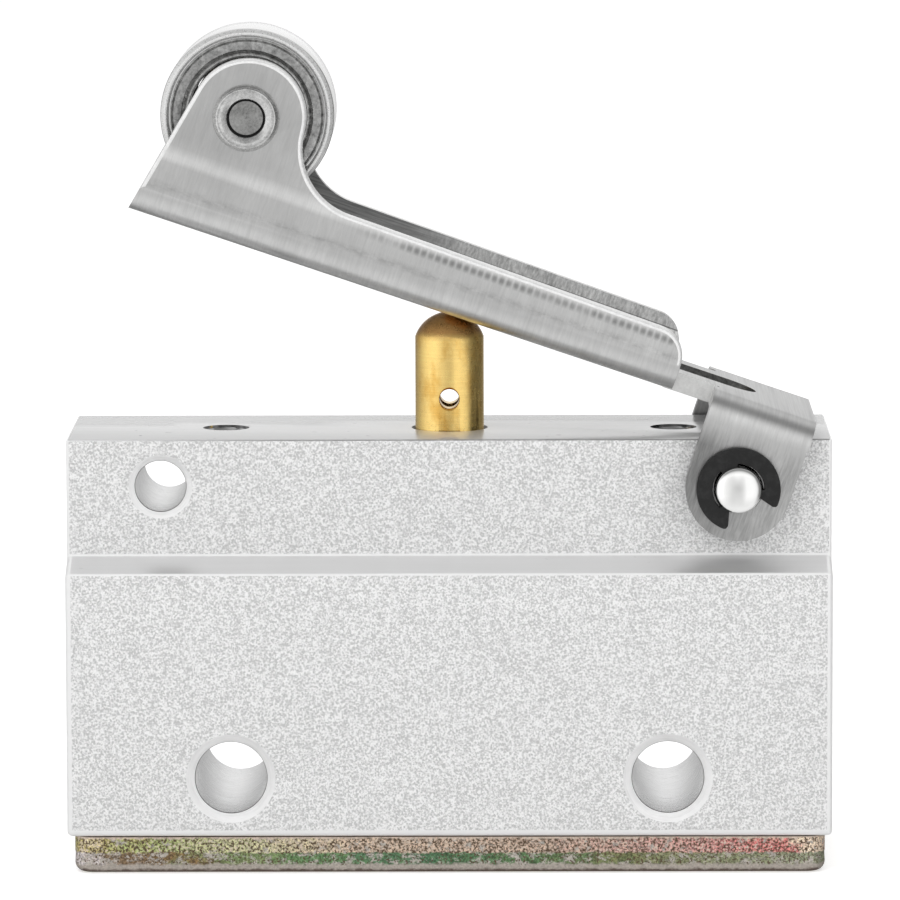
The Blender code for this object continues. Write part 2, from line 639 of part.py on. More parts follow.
def build_lever(steel, frame):
    half_width = CHANNEL_WIDTH / 2
    top = AXLE_ABOVE_PIN + CHEEK_RISE + CHEEK_RADIUS + THROUGH
    section = bent_section(half_width, web_low, top, CHANNEL_BEND)
    lever = add_solid("lever_arm", prism(section, -LEVER_REACH - 2 * THROUGH, THROUGH - CHANNEL_START, "X"))
    combine(lever, prism(wall_outline(), -half_width - THROUGH, half_width + THROUGH, "Y"), "INTERSECT")

    ear_out = EAR_SPACING / 2 + SHEET
    section = bent_section(ear_out, web_high, -EAR_HALF_WIDTH - THROUGH, EAR_BEND)
    bracket = add_solid("bracket", prism(section, -EAR_HALF_WIDTH - THROUGH, WEB_BEHIND_PIN + THROUGH, "X"))
    bend_end = web_high - EAR_BEND
    outline = arc((0, 0), EAR_HALF_WIDTH, 180, 360, 2 * ARC_STEPS)
    outline += [(EAR_HALF_WIDTH, bend_end), (WEB_BEHIND_PIN, bend_end + WEB_BEHIND_PIN - EAR_HALF_WIDTH)]
    outline += [(WEB_BEHIND_PIN, web_high + THROUGH), (-EAR_HALF_WIDTH, web_high + THROUGH)]
    combine(bracket, prism(outline, -ear_out - THROUGH, ear_out + THROUGH, "Y"), "INTERSECT")

    neck_half = NECK_WIDTH / 2
    far = -CHANNEL_START - SHEET / 2
    near = SHEET / 2 - EAR_HALF_WIDTH
    plan = [(far, -neck_half), (near, -neck_half), (near, neck_half), (far, neck_half)]
    combine(lever, prism(plan, web_low, web_high, "Z"), "UNION")
    bracket_shape = bmesh.new()
    bracket_shape.from_mesh(bracket.data)
    bpy.data.objects.remove(bracket, do_unlink=True)
    combine(lever, bracket_shape, "UNION")

    foot = WEB_BEHIND_PIN - STOP_BEVEL
    bevel = [(foot - THROUGH, web_low - THROUGH), (WEB_BEHIND_PIN + THROUGH, web_low - THROUGH)]
    bevel.append((WEB_BEHIND_PIN + THROUGH, web_low + STOP_BEVEL + THROUGH))
    cut(lever, prism(bevel, -EAR_SPACING / 2, EAR_SPACING / 2, "Y"))
    slot = stadium(-SLOT_FAR_END, -SLOT_NEAR_END, SLOT_WIDTH / 2)
    cut(lever, prism(slot, web_low - THROUGH, web_high + THROUGH, "Z"))
    relief = RELIEF_DIAMETER / 2
    for way in (-1, 1):
        notch = [(0, web_high + THROUGH), (relief, web_high + THROUGH), (relief, web_low - THROUGH)]
        notch = turned(notch + [(0, web_low - THROUGH)], TINY)
        cut(lever, moved(notch, -EAR_HALF_WIDTH, way * (neck_half + relief), 0))
    pin_hole = through_hole(PIN_DIAMETER / 2 + RUNNING_GAP, ear_out + THROUGH, 0, ROUND)
    cut(lever, along_y(pin_hole))
    axle_hole = through_hole(AXLE_DIAMETER / 2 + SEAT_GAP, half_width + THROUGH, 0, ROUND)
    cut(lever, moved(along_y(axle_hole), -AXLE_REACH, 0, AXLE_ABOVE_PIN))
    finish(lever, steel, parent=frame)


def build_axle(steel, frame):
    """A rivet drilled at both ends, its rims rolled over the cheeks."""
    shank = AXLE_DIAMETER / 2
    head = AXLE_HEAD_DIAMETER / 2
    drill = AXLE_DRILL_DIAMETER / 2
    cheek = CHANNEL_WIDTH / 2 + SEAT_GAP
    end = cheek + AXLE_HEAD_HEIGHT
    rim = (head - drill) / 2
    rolled = []
    for x, z in arc((0, 0), 1, 0, 180, DOME_STEPS):
        rolled.append((drill + rim * (1 + x), end - AXLE_RIM_HEIGHT * (1 - z)))
    floor = end - AXLE_DRILL_DEPTH
    half = [(shank, cheek), (head, cheek)] + rolled + [(drill, floor), (0, floor - AXLE_DRILL_POINT)]
    profile = list(reversed(half)) + [(radius, -z) for radius, z in half]
    axle = add_solid("roller_axle", along_y(turned(profile, SMALL)))
    finish(axle, steel, parent=frame, location=(-AXLE_REACH, 0, AXLE_ABOVE_PIN))

    gap_low = ROLLER_WIDTH / 2 + SEAT_GAP
    gap_high = CHANNEL_WIDTH / 2 - SHEET - SEAT_GAP
    hole = shank + SEAT_GAP
    outer = inner_land - WASHER_SETBACK
    for name, way in (("roller_washer_front", -1), ("roller_washer_rear", 1)):
        profile = [(hole, way * gap_low), (outer, way * gap_low)]
        profile += [(outer, way * gap_high), (hole, way * gap_high)]
        washer = add_solid(name, along_y(turned(profile, INNER)))
        finish(washer, steel, parent=frame, location=(-AXLE_REACH, 0, AXLE_ABOVE_PIN))


def race(radius, land, way):
    """A ball's groove in a cylindrical land, outside the balls for way 1 and inside for -1."""
    half_deg = math.degrees(math.acos(abs(land - ball_pitch) / radius))
    points = arc((0, 0), radius, -half_deg, half_deg, 4)
    return [(ball_pitch + way * x, way * z) for x, z in points]


def build_roller(polished, steel, brass, frame):
    half = ROLLER_WIDTH / 2
    tread = ROLLER_DIAMETER / 2
    groove = BALL_DIAMETER / 2 + BALL_GAP
    shield_back = half - SHIELD_RECESS - SHIELD_THICKNESS - SEAT_GAP

    outside = [(race_land, shield_back), (outer_land, shield_back), (outer_land, half)]
    outside += [(tread - ROLLER_CHAMFER, half), (tread, half - ROLLER_CHAMFER)]
    profile = outside + [(radius, -z) for radius, z in reversed(outside)] + race(groove, race_land, 1)
    finish(add_solid("bearing_outer_ring", along_y(turned(profile, FINE))), polished, parent=frame)

    bore = AXLE_DIAMETER / 2 + SEAT_GAP
    profile = [(bore, -half), (bore, half), (inner_land - SEAT_GAP, half), (inner_land, half - SEAT_GAP)]
    profile += race(groove, inner_land, -1)
    profile += [(inner_land, SEAT_GAP - half), (inner_land - SEAT_GAP, -half)]
    finish(add_solid("bearing_inner_ring", along_y(turned(profile, ROUND))), steel, parent=frame)

    shield_out = outer_land - SEAT_GAP
    shield_in = inner_land + SHIELD_AIR
    front = half - SHIELD_RECESS
    back = front - SHIELD_THICKNESS
    lip = shield_in + SHIELD_LIP
    step = SHIELD_THICKNESS / 2
    for name, way in (("shield_front", -1), ("shield_rear", 1)):
        profile = [(shield_in, front - step), (lip, front - step), (lip + step, front), (shield_out, front)]
        profile += [(shield_out, back), (shield_in, back - step)]
        profile = [(radius, way * z) for radius, z in profile]
        finish(add_solid(name, along_y(turned(profile, FINE))), steel, parent=frame)

    cage_low = ball_pitch - CAGE_THICKNESS / 2
    cage_high = ball_pitch + CAGE_THICKNESS / 2
    half_cage = CAGE_WIDTH / 2
    profile = [(cage_low, half_cage), (cage_high, half_cage), (cage_high, -half_cage), (cage_low, -half_cage)]
    cage = add_solid("ball_cage", along_y(turned(profile, SMALL)))
    for index in range(BALL_COUNT):
        turn = 2 * math.pi * index / BALL_COUNT
        pocket = [(0, tread), (groove, tread), (groove, bore), (0, bore)]
        pocket = turned(pocket, TINY)
        bmesh.ops.rotate(pocket, verts=pocket.verts, matrix=Matrix.Rotation(turn, 3, "Y"))
        cut(cage, pocket)
        ball = bmesh.new()
        bmesh.ops.create_icosphere(ball, subdivisions=2, radius=BALL_DIAMETER / 2)
        ball = moved(ball, ball_pitch * math.sin(turn), 0, ball_pitch * math.cos(turn))
        finish(add_solid("ball_" + str(index + 1), ball), polished, parent=frame)
    finish(cage, brass, parent=frame)


def pin_layout():
    """Distances from the block's middle to the ear's face, the clip groove and the pin's end."""
    ear_face = EAR_SPACING / 2 + SHEET
    groove_low = ear_face + RUNNING_GAP
    groove_high = groove_low + CLIP_THICKNESS + 2 * SEAT_GAP
    return groove_low, groove_high, groove_high + PIN_END


def build_pin(steel):
    radius = PIN_DIAMETER / 2
    groove = CLIP_GROOVE_DIAMETER / 2
    groove_low, groove_high, cylinder_end = pin_layout()
    half = [(radius, groove_low), (groove, groove_low), (groove, groove_high), (radius, groove_high)]
    for out, up in arc((0, 0), 1, 0, 90, ARC_STEPS // 2)[:-1]:
        half.append((radius * out, cylinder_end + PIN_DOME * up))
    half.append((0, cylinder_end + PIN_DOME))
    profile = list(reversed(half)) + [(out, -z) for out, z in half]
    pin = add_solid("pivot_pin", along_y(turned(profile, SMALL)))
    finish(pin, steel, location=(pivot_x, 0, pivot_z))


def clip_outline():
    """An E-shaped clip: a middle prong, two end prongs and an open mouth."""
    outer = CLIP_DIAMETER / 2
    inner = CLIP_INNER_DIAMETER / 2
    grip = CLIP_GROOVE_DIAMETER / 2 + SEAT_GAP
    start = CLIP_TURN_DEG + CLIP_OPENING_DEG / 2
    end = CLIP_TURN_DEG + 360 - CLIP_OPENING_DEG / 2
    middle = CLIP_TURN_DEG + 180
    outline = arc((0, 0), outer, start + CLIP_NOSE_DEG, end - CLIP_NOSE_DEG, 3 * ARC_STEPS)
    outline += arc((0, 0), outer - CLIP_THICKNESS / 2, end, end, 1)[:1]
    outline += arc((0, 0), grip, end, end - CLIP_PRONG_DEG, 2)
    outline += arc((0, 0), inner, end - CLIP_PRONG_DEG, middle + CLIP_PRONG_DEG, ARC_STEPS // 2)
    outline += arc((0, 0), grip, middle + CLIP_PRONG_DEG, middle - CLIP_PRONG_DEG, 3)
    outline += arc((0, 0), inner, middle - CLIP_PRONG_DEG, start + CLIP_PRONG_DEG, ARC_STEPS // 2)
    outline += arc((0, 0), grip, start + CLIP_PRONG_DEG, start, 2)
    outline += arc((0, 0), outer - CLIP_THICKNESS / 2, start, start, 1)[:1]
    return outline


def build_clips(black):
    groove_low, groove_high, _ = pin_layout()
    low = groove_low + SEAT_GAP
    high = groove_high - SEAT_GAP
    for name, way in (("e_clip_front", -1), ("e_clip_rear", 1)):
        clip = add_solid(name, prism(clip_outline(), way * low, way * high, "Y"))
        finish(clip, black, location=(pivot_x, 0, pivot_z))


def build():
    clear_scene()
    block_paint = paint("blasted_aluminium", (0.78, 0.78, 0.78), 0.5, 0.6)
    plate_paint = paint("yellow_zinc", (0.45, 0.42, 0.28), 0.4, 0.9)
    lever_paint = paint("brushed_steel", (0.62, 0.61, 0.59), 0.35, 1.0)
    polished_paint = paint("polished_steel", (0.75, 0.75, 0.74), 0.15, 1.0)
    bright_paint = paint("bright_steel", (0.70, 0.70, 0.69), 0.25, 1.0)
    brass_paint = paint("brass", (0.72, 0.50, 0.20), 0.3, 1.0)
    black_paint = paint("black_oxide", (0.02, 0.02, 0.02), 0.5, 0.5)
    rubber_paint = paint("black_rubber", (0.02, 0.02, 0.02), 0.7, 0.0)

    build_valve_block(block_paint)
    build_base_plate(plate_paint)
    build_base_screws(plate_paint)
    build_seat(brass_paint, rubber_paint)
    build_fixed_seals(rubber_paint)
    build_plunger(brass_paint)
    build_poppet(brass_paint, rubber_paint)
    build_springs(bright_paint)
    build_pin(polished_paint)
    build_clips(black_paint)

    lever_frame = add_frame("lever_frame", (pivot_x, 0, pivot_z))
    lever_frame.rotation_euler = (0, lever_angle, 0)
    build_lever(lever_paint, lever_frame)
    build_axle(bright_paint, lever_frame)
    roller_frame = add_frame("roller_frame", (-AXLE_REACH, 0, AXLE_ABOVE_PIN), lever_frame)
    build_roller(polished_paint, bright_paint, brass_paint, roller_frame)


build()
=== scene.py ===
import json
import math

import bmesh
import bpy
import numpy as np
from mathutils import Matrix, Quaternion, Vector


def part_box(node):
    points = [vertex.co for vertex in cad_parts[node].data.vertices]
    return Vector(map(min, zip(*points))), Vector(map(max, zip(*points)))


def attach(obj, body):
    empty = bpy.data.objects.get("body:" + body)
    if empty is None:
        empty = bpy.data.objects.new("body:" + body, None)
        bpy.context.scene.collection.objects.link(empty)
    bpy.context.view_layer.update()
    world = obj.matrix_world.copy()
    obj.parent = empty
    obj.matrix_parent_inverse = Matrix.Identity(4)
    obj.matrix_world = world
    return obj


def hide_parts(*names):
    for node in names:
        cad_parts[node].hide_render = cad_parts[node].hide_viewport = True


# Roller lever air valve. Every shape below is worked out in millimetres, in the frame of
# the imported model, and is scaled to metres as the piece is finished.

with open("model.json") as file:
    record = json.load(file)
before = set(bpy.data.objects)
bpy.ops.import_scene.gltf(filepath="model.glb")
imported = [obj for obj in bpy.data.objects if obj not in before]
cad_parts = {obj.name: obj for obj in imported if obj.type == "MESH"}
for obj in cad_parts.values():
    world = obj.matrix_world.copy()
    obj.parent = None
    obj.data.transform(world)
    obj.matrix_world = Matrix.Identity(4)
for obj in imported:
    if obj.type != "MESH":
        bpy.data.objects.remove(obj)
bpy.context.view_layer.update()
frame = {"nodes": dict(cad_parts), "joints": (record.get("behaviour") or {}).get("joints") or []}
print("frame loaded with", len(frame["nodes"]), "nodes")

joints = {joint["name"]: joint for joint in frame["joints"]}
pinCentre = [1000 * value for value in joints["lever_pivot"]["pos_m"]]
rollerCentre = [1000 * value for value in joints["roller_spin"]["pos_m"]]


# Shape helpers

def arcPoints(centre, radius, startDeg, endDeg, steps):
    # x = cx + r cos t, y = cy + r sin t, for even steps of t
    t = np.radians(np.linspace(startDeg, endDeg, steps + 1))
    return np.column_stack([centre[0] + radius * np.cos(t), centre[1] + radius * np.sin(t)])


def softened(points, setback, steps=3, closed=False):
    # each corner P becomes (1-u)^2 (P + d a) + 2u(1-u) P + u^2 (P + d b), where a and b are
    # the unit directions to its neighbours and d is the setback, kept below half a side
    points = np.array(points, float)
    toBefore = np.roll(points, 1, axis=0) - points
    toAfter = np.roll(points, -1, axis=0) - points
    lengthBefore = np.linalg.norm(toBefore, axis=1)
    lengthAfter = np.linalg.norm(toAfter, axis=1)
    d = np.minimum(np.broadcast_to(setback, len(points)), 0.45 * np.minimum(lengthBefore, lengthAfter))
    u = np.linspace(0, 1, steps + 1)[None, :, None]
    start = (points + toBefore * (d / lengthBefore)[:, None])[:, None]
    end = (points + toAfter * (d / lengthAfter)[:, None])[:, None]
    curve = (1 - u) ** 2 * start + 2 * u * (1 - u) * points[:, None] + u ** 2 * end
    if closed:
        return curve.reshape(-1, 2)
    return np.vstack([points[:1], curve[1:-1].reshape(-1, 2), points[-1:]])


def gridFaces(rows, columns, wrapRows, wrapColumns):
    # quad (i, j), (i, j+1), (i+1, j+1), (i+1, j), with each index wrapped where it closes
    rowStarts, columnStarts = np.arange(rows - (not wrapRows)), np.arange(columns - (not wrapColumns))
    i, j = np.meshgrid(rowStarts, columnStarts, indexing="ij")
    nextI = (i + 1) % rows
    nextJ = (j + 1) % columns
    corners = [i * columns + j, i * columns + nextJ, nextI * columns + nextJ, nextI * columns + j]
    return np.stack(corners, axis=-1).reshape(-1, 4)


def addPiece(name, points, faces):
    mesh = bpy.data.meshes.new(name)
    mesh.from_pydata(np.asarray(points).reshape(-1, 3).tolist(), [], faces)
    piece = bpy.data.objects.new(name, mesh)
    bpy.context.scene.collection.objects.link(piece)
    weld(piece)
    return piece


def weld(piece):
    # closes seams and poles, then turns every face outwards
    shape = bmesh.new()
    shape.from_mesh(piece.data)
    bmesh.ops.remove_doubles(shape, verts=shape.verts, dist=1e-5)
    bmesh.ops.recalc_face_normals(shape, faces=shape.faces)
    shape.to_mesh(piece.data)
    shape.free()


def turned(name, profile, sides=96, axis="Z", place=(0, 0, 0), closed=False):
    # (r cos a, r sin a, h) for every profile point (r, h) and every angle a
    profile = np.array(profile, float)
    a = np.linspace(0, 2 * np.pi, sides, endpoint=False)
    r, h = profile[:, 0][:, None], profile[:, 1][:, None]
    return addPiece(name, turnTo(axis, r * np.cos(a), r * np.sin(a), h + 0 * a) + np.array(place),
                    gridFaces(len(profile), sides, closed, True).tolist())


def turnTo(axis, across, beside, along):
    # lays a shape about Z along another axis: the turns (x, z, -y) for Y and (z, y, -x) for X
    if axis == "Y":
        return np.stack([across, along, -beside], axis=-1)
    if axis == "X":
        return np.stack([along, beside, -across], axis=-1)
    return np.stack([across, beside, along], axis=-1)


def prism(name, outline, low, high, axis):
    # the outline (a, b) at the levels low and high, with a flat cap at each end
    outline = np.array(outline, float)
    a, b = outline[:, 0], outline[:, 1]
    ends = []
    for level in (low, high):
        c = np.full(len(a), level)
        ends.append({"X": (c, a, b), "Y": (a, c, b), "Z": (a, b, c)}[axis])
    points = np.concatenate([np.stack(end, axis=-1) for end in ends])
    n = len(a)
    faces = gridFaces(2, n, False, True).tolist() + [list(range(n)), list(range(n, 2 * n))]
    return addPiece(name, points, faces)


def faceData(mesh):
    # the centre, normal and area of every face, as arrays
    count = len(mesh.polygons)
    centres, normals, areas = np.zeros(count * 3), np.zeros(count * 3), np.zeros(count)
    mesh.polygons.foreach_get("center", centres)
    mesh.polygons.foreach_get("normal", normals)
    mesh.polygons.foreach_get("area", areas)
    return centres.reshape(-1, 3), normals.reshape(-1, 3), areas


def edgeEnds(mesh):
    # the two end points of every edge, as two arrays
    points = np.zeros(len(mesh.vertices) * 3)
    mesh.vertices.foreach_get("co", points)
    ends = np.zeros(len(mesh.edges) * 2, int)
    mesh.edges.foreach_get("vertices", ends)
    return points.reshape(-1, 3)[ends.reshape(-1, 2)].transpose(1, 0, 2)


def edgeAngles(mesh):
    # the angle in degrees between the two faces at every edge
    shape = bmesh.new()
    shape.from_mesh(mesh)
    angles = np.array([edge.calc_face_angle(0.0) for edge in shape.edges])
    shape.free()
    return np.degrees(angles)


def bevelByWeight(piece, weights, width, steps, slot=-1):
    layer = piece.data.attributes.new("bevel_weight_edge", "FLOAT", "EDGE")
    layer.data.foreach_set("value", np.asarray(weights, np.float32))
    bevel = piece.modifiers.new("edges", "BEVEL")
    bevel.width = width
    bevel.segments = steps
    bevel.limit_method = "WEIGHT"
    bevel.use_clamp_overlap = False
    bevel.material = slot
    bakeModifiers(piece)


def bakeModifiers(piece):
    graph = bpy.context.evaluated_depsgraph_get()
    mesh = bpy.data.meshes.new_from_object(piece.evaluated_get(graph))
    piece.modifiers.clear()
    old = piece.data
    piece.data = mesh
    bpy.data.meshes.remove(old)


def combine(piece, tool, operation="DIFFERENCE", surface=None):
    # one exact Boolean; the cut faces take the tool's own surfaces where it has any
    if surface:
        tool.data.materials.append(surface)
    step = piece.modifiers.new("combine", "BOOLEAN")
    step.operation = operation
    step.solver = "EXACT"
    step.material_mode = "TRANSFER" if len(tool.data.materials) else "INDEX"
    step.object = tool
    bakeModifiers(piece)
    bpy.data.objects.remove(tool, do_unlink=True)


def finishPiece(piece, body, nodes, surface=None, edge=0.0, edgeSteps=2, place=None, sharpDeg=32):
    # rounds the edges, places the piece, scales it to metres and hands it to its body
    if surface:
        piece.data.materials.clear()
        piece.data.materials.append(surface)
    piece.data.shade_smooth()
    if edge:
        bevel = piece.modifiers.new("edges", "BEVEL")
        bevel.width = edge
        bevel.segments = edgeSteps
        bevel.limit_method = "ANGLE"
        bevel.angle_limit = math.radians(sharpDeg)
        bevel.harden_normals = True
        bakeModifiers(piece)
    else:
        piece.data.set_sharp_from_angle(angle=math.radians(sharpDeg))
    if place is not None:
        piece.data.transform(place)
    piece.data.transform(Matrix.Scale(0.001, 4))
    piece.data.name = piece.name
    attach(piece, body)
    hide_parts(*nodes)
    return piece


# Surface helpers

def newSurface(name, color, metallic, roughness, **settings):
    surface = bpy.data.materials.new(name)
    surface.use_nodes = True
    shader = surface.node_tree.nodes["Principled BSDF"]
    shader.inputs["Base Color"].default_value = (*color, 1)
    shader.inputs["Metallic"].default_value = metallic
    shader.inputs["Roughness"].default_value = roughness
    for socket, value in settings.items():
        shader.inputs[socket.replace("_", " ")].default_value = value
    return surface, shader


def node(tree, kind, inputs=(), **settings):
    made = tree.nodes.new("ShaderNode" + kind)
    for name, value in settings.items():
        setattr(made, name, value)
    for socket, value in dict(inputs).items():
        if isinstance(value, bpy.types.NodeSocket):
            tree.links.new(value, made.inputs[socket])
        else:
            made.inputs[socket].default_value = value
    return made


def math2(tree, operation, first, second=0.0):
    return node(tree, "Math", {0: first, 1: second}, operation=operation).outputs[0]


def times(tree, first, second):
    return math2(tree, "MULTIPLY", first, second)


def spread(tree, value, low, high, toLow=0.0, toHigh=1.0):
    made = node(tree, "MapRange", {"Value": value, "From Min": low, "From Max": high,
                                   "To Min": toLow, "To Max": toHigh})
    return made.outputs[0]


def blendColor(tree, factor, first, second):
    made = tree.nodes.new("ShaderNodeMix")
    made.data_type = "RGBA"
    for index, value in ((0, factor), (6, first), (7, second)):
        if isinstance(value, bpy.types.NodeSocket):
            tree.links.new(value, made.inputs[index])
        else:
            made.inputs[index].default_value = value if index == 0 else (*value, 1)
    return made.outputs[2]


def colorSteps(tree, factor, steps):
    made = node(tree, "ValToRGB", {"Fac": factor})
    ramp = made.color_ramp
    while len(ramp.elements) < len(steps):
        ramp.elements.new(0.5)
    for element, (position, color) in zip(ramp.elements, steps):
        element.position = position
        element.color = (*color, 1)
    return made.outputs[0]


def objectPlace(tree, location=(0, 0, 0), rotation=(0, 0, 0), scale=(1, 1, 1)):
    # Object coordinates, turned and stretched to suit the grain of a piece
    coordinates = tree.nodes.new("ShaderNodeTexCoord")
    mapping = node(tree, "Mapping", {"Vector": coordinates.outputs["Object"], "Location": location,
                                     "Rotation": rotation, "Scale": scale}, vector_type="POINT")
    return mapping.outputs[0]


def noise(tree, place, scale, detail=3.0, roughness=0.55, distortion=0.0):
    made = node(tree, "TexNoise", {"Vector": place, "Scale": scale, "Detail": detail, "Roughness": roughness,
                                   "Distortion": distortion})
    return made.outputs["Fac"]


def newGroup(name, inputs, outputs):
    group = bpy.data.node_groups.new(name, "ShaderNodeTree")
    for label, kind, value in inputs:
        socket = group.interface.new_socket(label, in_out="INPUT", socket_type="NodeSocket" + kind)
        if value is not None:
            socket.default_value = value
    for label, kind in outputs:
        group.interface.new_socket(label, in_out="OUTPUT", socket_type="NodeSocket" + kind)
    return group, group.nodes.new("NodeGroupInput"), group.nodes.new("NodeGroupOutput")


def useGroup(tree, group, **inputs):
    made = tree.nodes.new("ShaderNodeGroup")
    made.node_tree = group
    for name, value in inputs.items():
        if isinstance(value, bpy.types.NodeSocket):
            tree.links.new(value, made.inputs[name])
        else:
            made.inputs[name].default_value = value
    return made


def brushedGroup():
    # long fine streaks: noise whose place is squeezed along the grain, at two widths
    group, given, out = newGroup("brushedStreaks",
                                 [("Place", "Vector", None), ("Fine", "Float", 1.0), ("Broad", "Float", 1.0)],
                                 [("Streaks", "Float"), ("Patches", "Float")])
    fine = noise(group, given.outputs["Place"], 1.0, 4.0, 0.7)
    broad = noise(group, given.outputs["Place"], 0.22, 2.0, 0.6)
    fineShare = times(group, math2(group, "SUBTRACT", fine, 0.5), given.outputs["Fine"])
    broadShare = times(group, math2(group, "SUBTRACT", broad, 0.5), given.outputs["Broad"])
    total = math2(group, "ADD", math2(group, "ADD", fineShare, broadShare), 0.5)
    group.links.new(total, out.inputs["Streaks"])
    group.links.new(broad, out.inputs["Patches"])
    return group


def speckleGroup():
    # blasted or etched grain: hard-edged spots of light and dark over a soft noise
    group, given, out = newGroup("blastedGrain",
                                 [("Place", "Vector", None), ("Size", "Float", 6000.0)],
                                 [("Grain", "Float"), ("Cloud", "Float")])
    sharp = noise(group, given.outputs["Place"], given.outputs["Size"], 1.0, 0.6)
    softSize = times(group, given.outputs["Size"], 0.06)
    soft = noise(group, given.outputs["Place"], softSize, 3.0, 0.6)
    group.links.new(spread(group, sharp, 0.36, 0.64), out.inputs["Grain"])
    group.links.new(soft, out.inputs["Cloud"])
    return group


brushedStreaks = brushedGroup()
blastedGrain = speckleGroup()


def bumped(tree, shader, height, strength, distance):
    made = node(tree, "Bump", {"Height": height, "Strength": strength, "Distance": distance})
    tree.links.new(made.outputs[0], shader.inputs["Normal"])


# Aluminium of the block

blastedSizes = {"color": (0.91, 0.91, 0.91), "dark": 0.66, "bright": 1.10, "grain": 8400.0, "roughness": 0.6}


def scaledColor(tree, shader, color, scale):
    # Base Color = color times a value that changes over the surface
    tinted = node(tree, "VectorMath", {0: color}, operation="SCALE")
    tree.links.new(scale, tinted.inputs["Scale"])
    tree.links.new(tinted.outputs[0], shader.inputs["Base Color"])


def blastedAluminium(s):
    # blasted and anodised: sharp grains of light and dark, and slow faint clouds
    surface, shader = newSurface("blastedAluminium", s["color"], 0.12, s["roughness"])
    tree = surface.node_tree
    grain = useGroup(tree, blastedGrain, Place=objectPlace(tree), Size=s["grain"])
    shade = spread(tree, grain.outputs["Grain"], 0, 1, s["dark"], s["bright"])
    streaks = noise(tree, objectPlace(tree, scale=(300, 300, 2600)), 1.0, 2.0)
    cloud = math2(tree, "ADD", spread(tree, grain.outputs["Cloud"], 0.3, 0.7, 0.49, 0.51),
                  spread(tree, streaks, 0.3, 0.7, 0.49, 0.51))
    scaledColor(tree, shader, s["color"], times(tree, shade, cloud))
    tree.links.new(spread(tree, grain.outputs["Grain"], 0, 1, 0.68, 0.5), shader.inputs["Roughness"])
    bumped(tree, shader, grain.outputs["Grain"], 0.4, 0.00003)
    return surface


def satinAluminium(name, color, metallic, roughness, pitShade):
    # the smooth faces: faintly drawn along the bar, with a few small dark pits
    surface, shader = newSurface(name, color, metallic, roughness)
    tree = surface.node_tree
    drawn = noise(tree, objectPlace(tree, scale=(90, 2600, 2600)), 1.0, 3.0, 0.6)
    pits = noise(tree, objectPlace(tree, scale=(0.8, 1, 1)), 1900.0, 1.0, 0.5)
    shade = times(tree, spread(tree, drawn, 0.3, 0.7, 0.985, 1.015),
                  spread(tree, pits, 0.22, 0.26, pitShade, 1.0))
    scaledColor(tree, shader, color, shade)
    uneven = spread(tree, drawn, 0.3, 0.7, roughness - 0.02, roughness + 0.03)
    tree.links.new(uneven, shader.inputs["Roughness"])
    bumped(tree, shader, drawn, 0.05, 0.00001)
    return surface


def paintedEdgeShade(color):
    # a thin line of painted shade along the top's edge, which fades out towards the left end, at -X
    surface, shader = newSurface("paintedEdgeShade", color, 0.4, 0.4)
    tree = surface.node_tree
    coordinates = tree.nodes.new("ShaderNodeTexCoord")
    parts = node(tree, "SeparateXYZ", {0: coordinates.outputs["Object"]})
    # noise that breaks up the painted shade line
    wear = noise(tree, objectPlace(tree, scale=(900, 100, 100)), 1.0, 3.0, 0.7)
    fade = spread(tree, parts.outputs["X"], -0.021, -0.009, 0.0, 0.85)
    fade = times(tree, fade, spread(tree, wear, 0.3, 0.55, 0.7, 1.0))
    tree.links.new(blendColor(tree, fade, (0.80, 0.80, 0.80), color), shader.inputs["Base Color"])
    return surface


def machinedAluminium(name, color, metallic, roughness):
    # bored and drilled faces, with fine rings round a cross hole's axis
    surface, shader = newSurface(name, color, metallic, roughness)
    tree = surface.node_tree
    rings = noise(tree, objectPlace(tree, scale=(400, 6500, 400)), 1.0, 3.0, 0.7, 0.3)
    soft = noise(tree, objectPlace(tree), 700.0, 3.0, 0.7)
    shade = times(tree, spread(tree, rings, 0.3, 0.7, 0.90, 1.06),
                  spread(tree, soft, 0.3, 0.7, 0.96, 1.04))
    scaledColor(tree, shader, color, shade)
    uneven = spread(tree, rings, 0.3, 0.7, roughness - 0.05, roughness + 0.08)
    tree.links.new(uneven, shader.inputs["Roughness"])
    bumped(tree, shader, rings, 0.3, 0.00002)
    return surface


blockSurface = blastedAluminium(blastedSizes)
topSurface = satinAluminium("topAluminium", (0.67, 0.67, 0.67), 0.3, 0.18, 0.45)
ledgeSurface = satinAluminium("ledgeAluminium", (0.88, 0.88, 0.88), 0.85, 0.36, 0.9)
# pale edge strips, partly a painted highlight
edgeSurface = satinAluminium("edgeAluminium", (0.93, 0.93, 0.93), 0.2, 0.4, 0.95)
# painted shade: the thin dark line along the block's top edges
edgeShadeSurface = paintedEdgeShade((0.20, 0.20, 0.20))
boreSurface = machinedAluminium("boredAluminium", (0.83, 0.83, 0.83), 0.9, 0.22)
# near-white chamfers: machined, and partly a painted highlight
chamferSurface = machinedAluminium("chamferAluminium", (0.99, 0.99, 0.99), 0.0, 0.4)
threadSurface = machinedAluminium("threadAluminium", (0.52, 0.52, 0.52), 1.0, 0.18)
# painted shade: the plunger's bore and the thin line where a chamfer meets its bore
paintedShadeSurface = machinedAluminium("paintedShadeAluminium", (0.22, 0.22, 0.215), 0.9, 0.3)
cutSurface = machinedAluminium("machinedAluminium", (0.72, 0.72, 0.72), 0.5, 0.36)


# Yellow zinc of the base plate

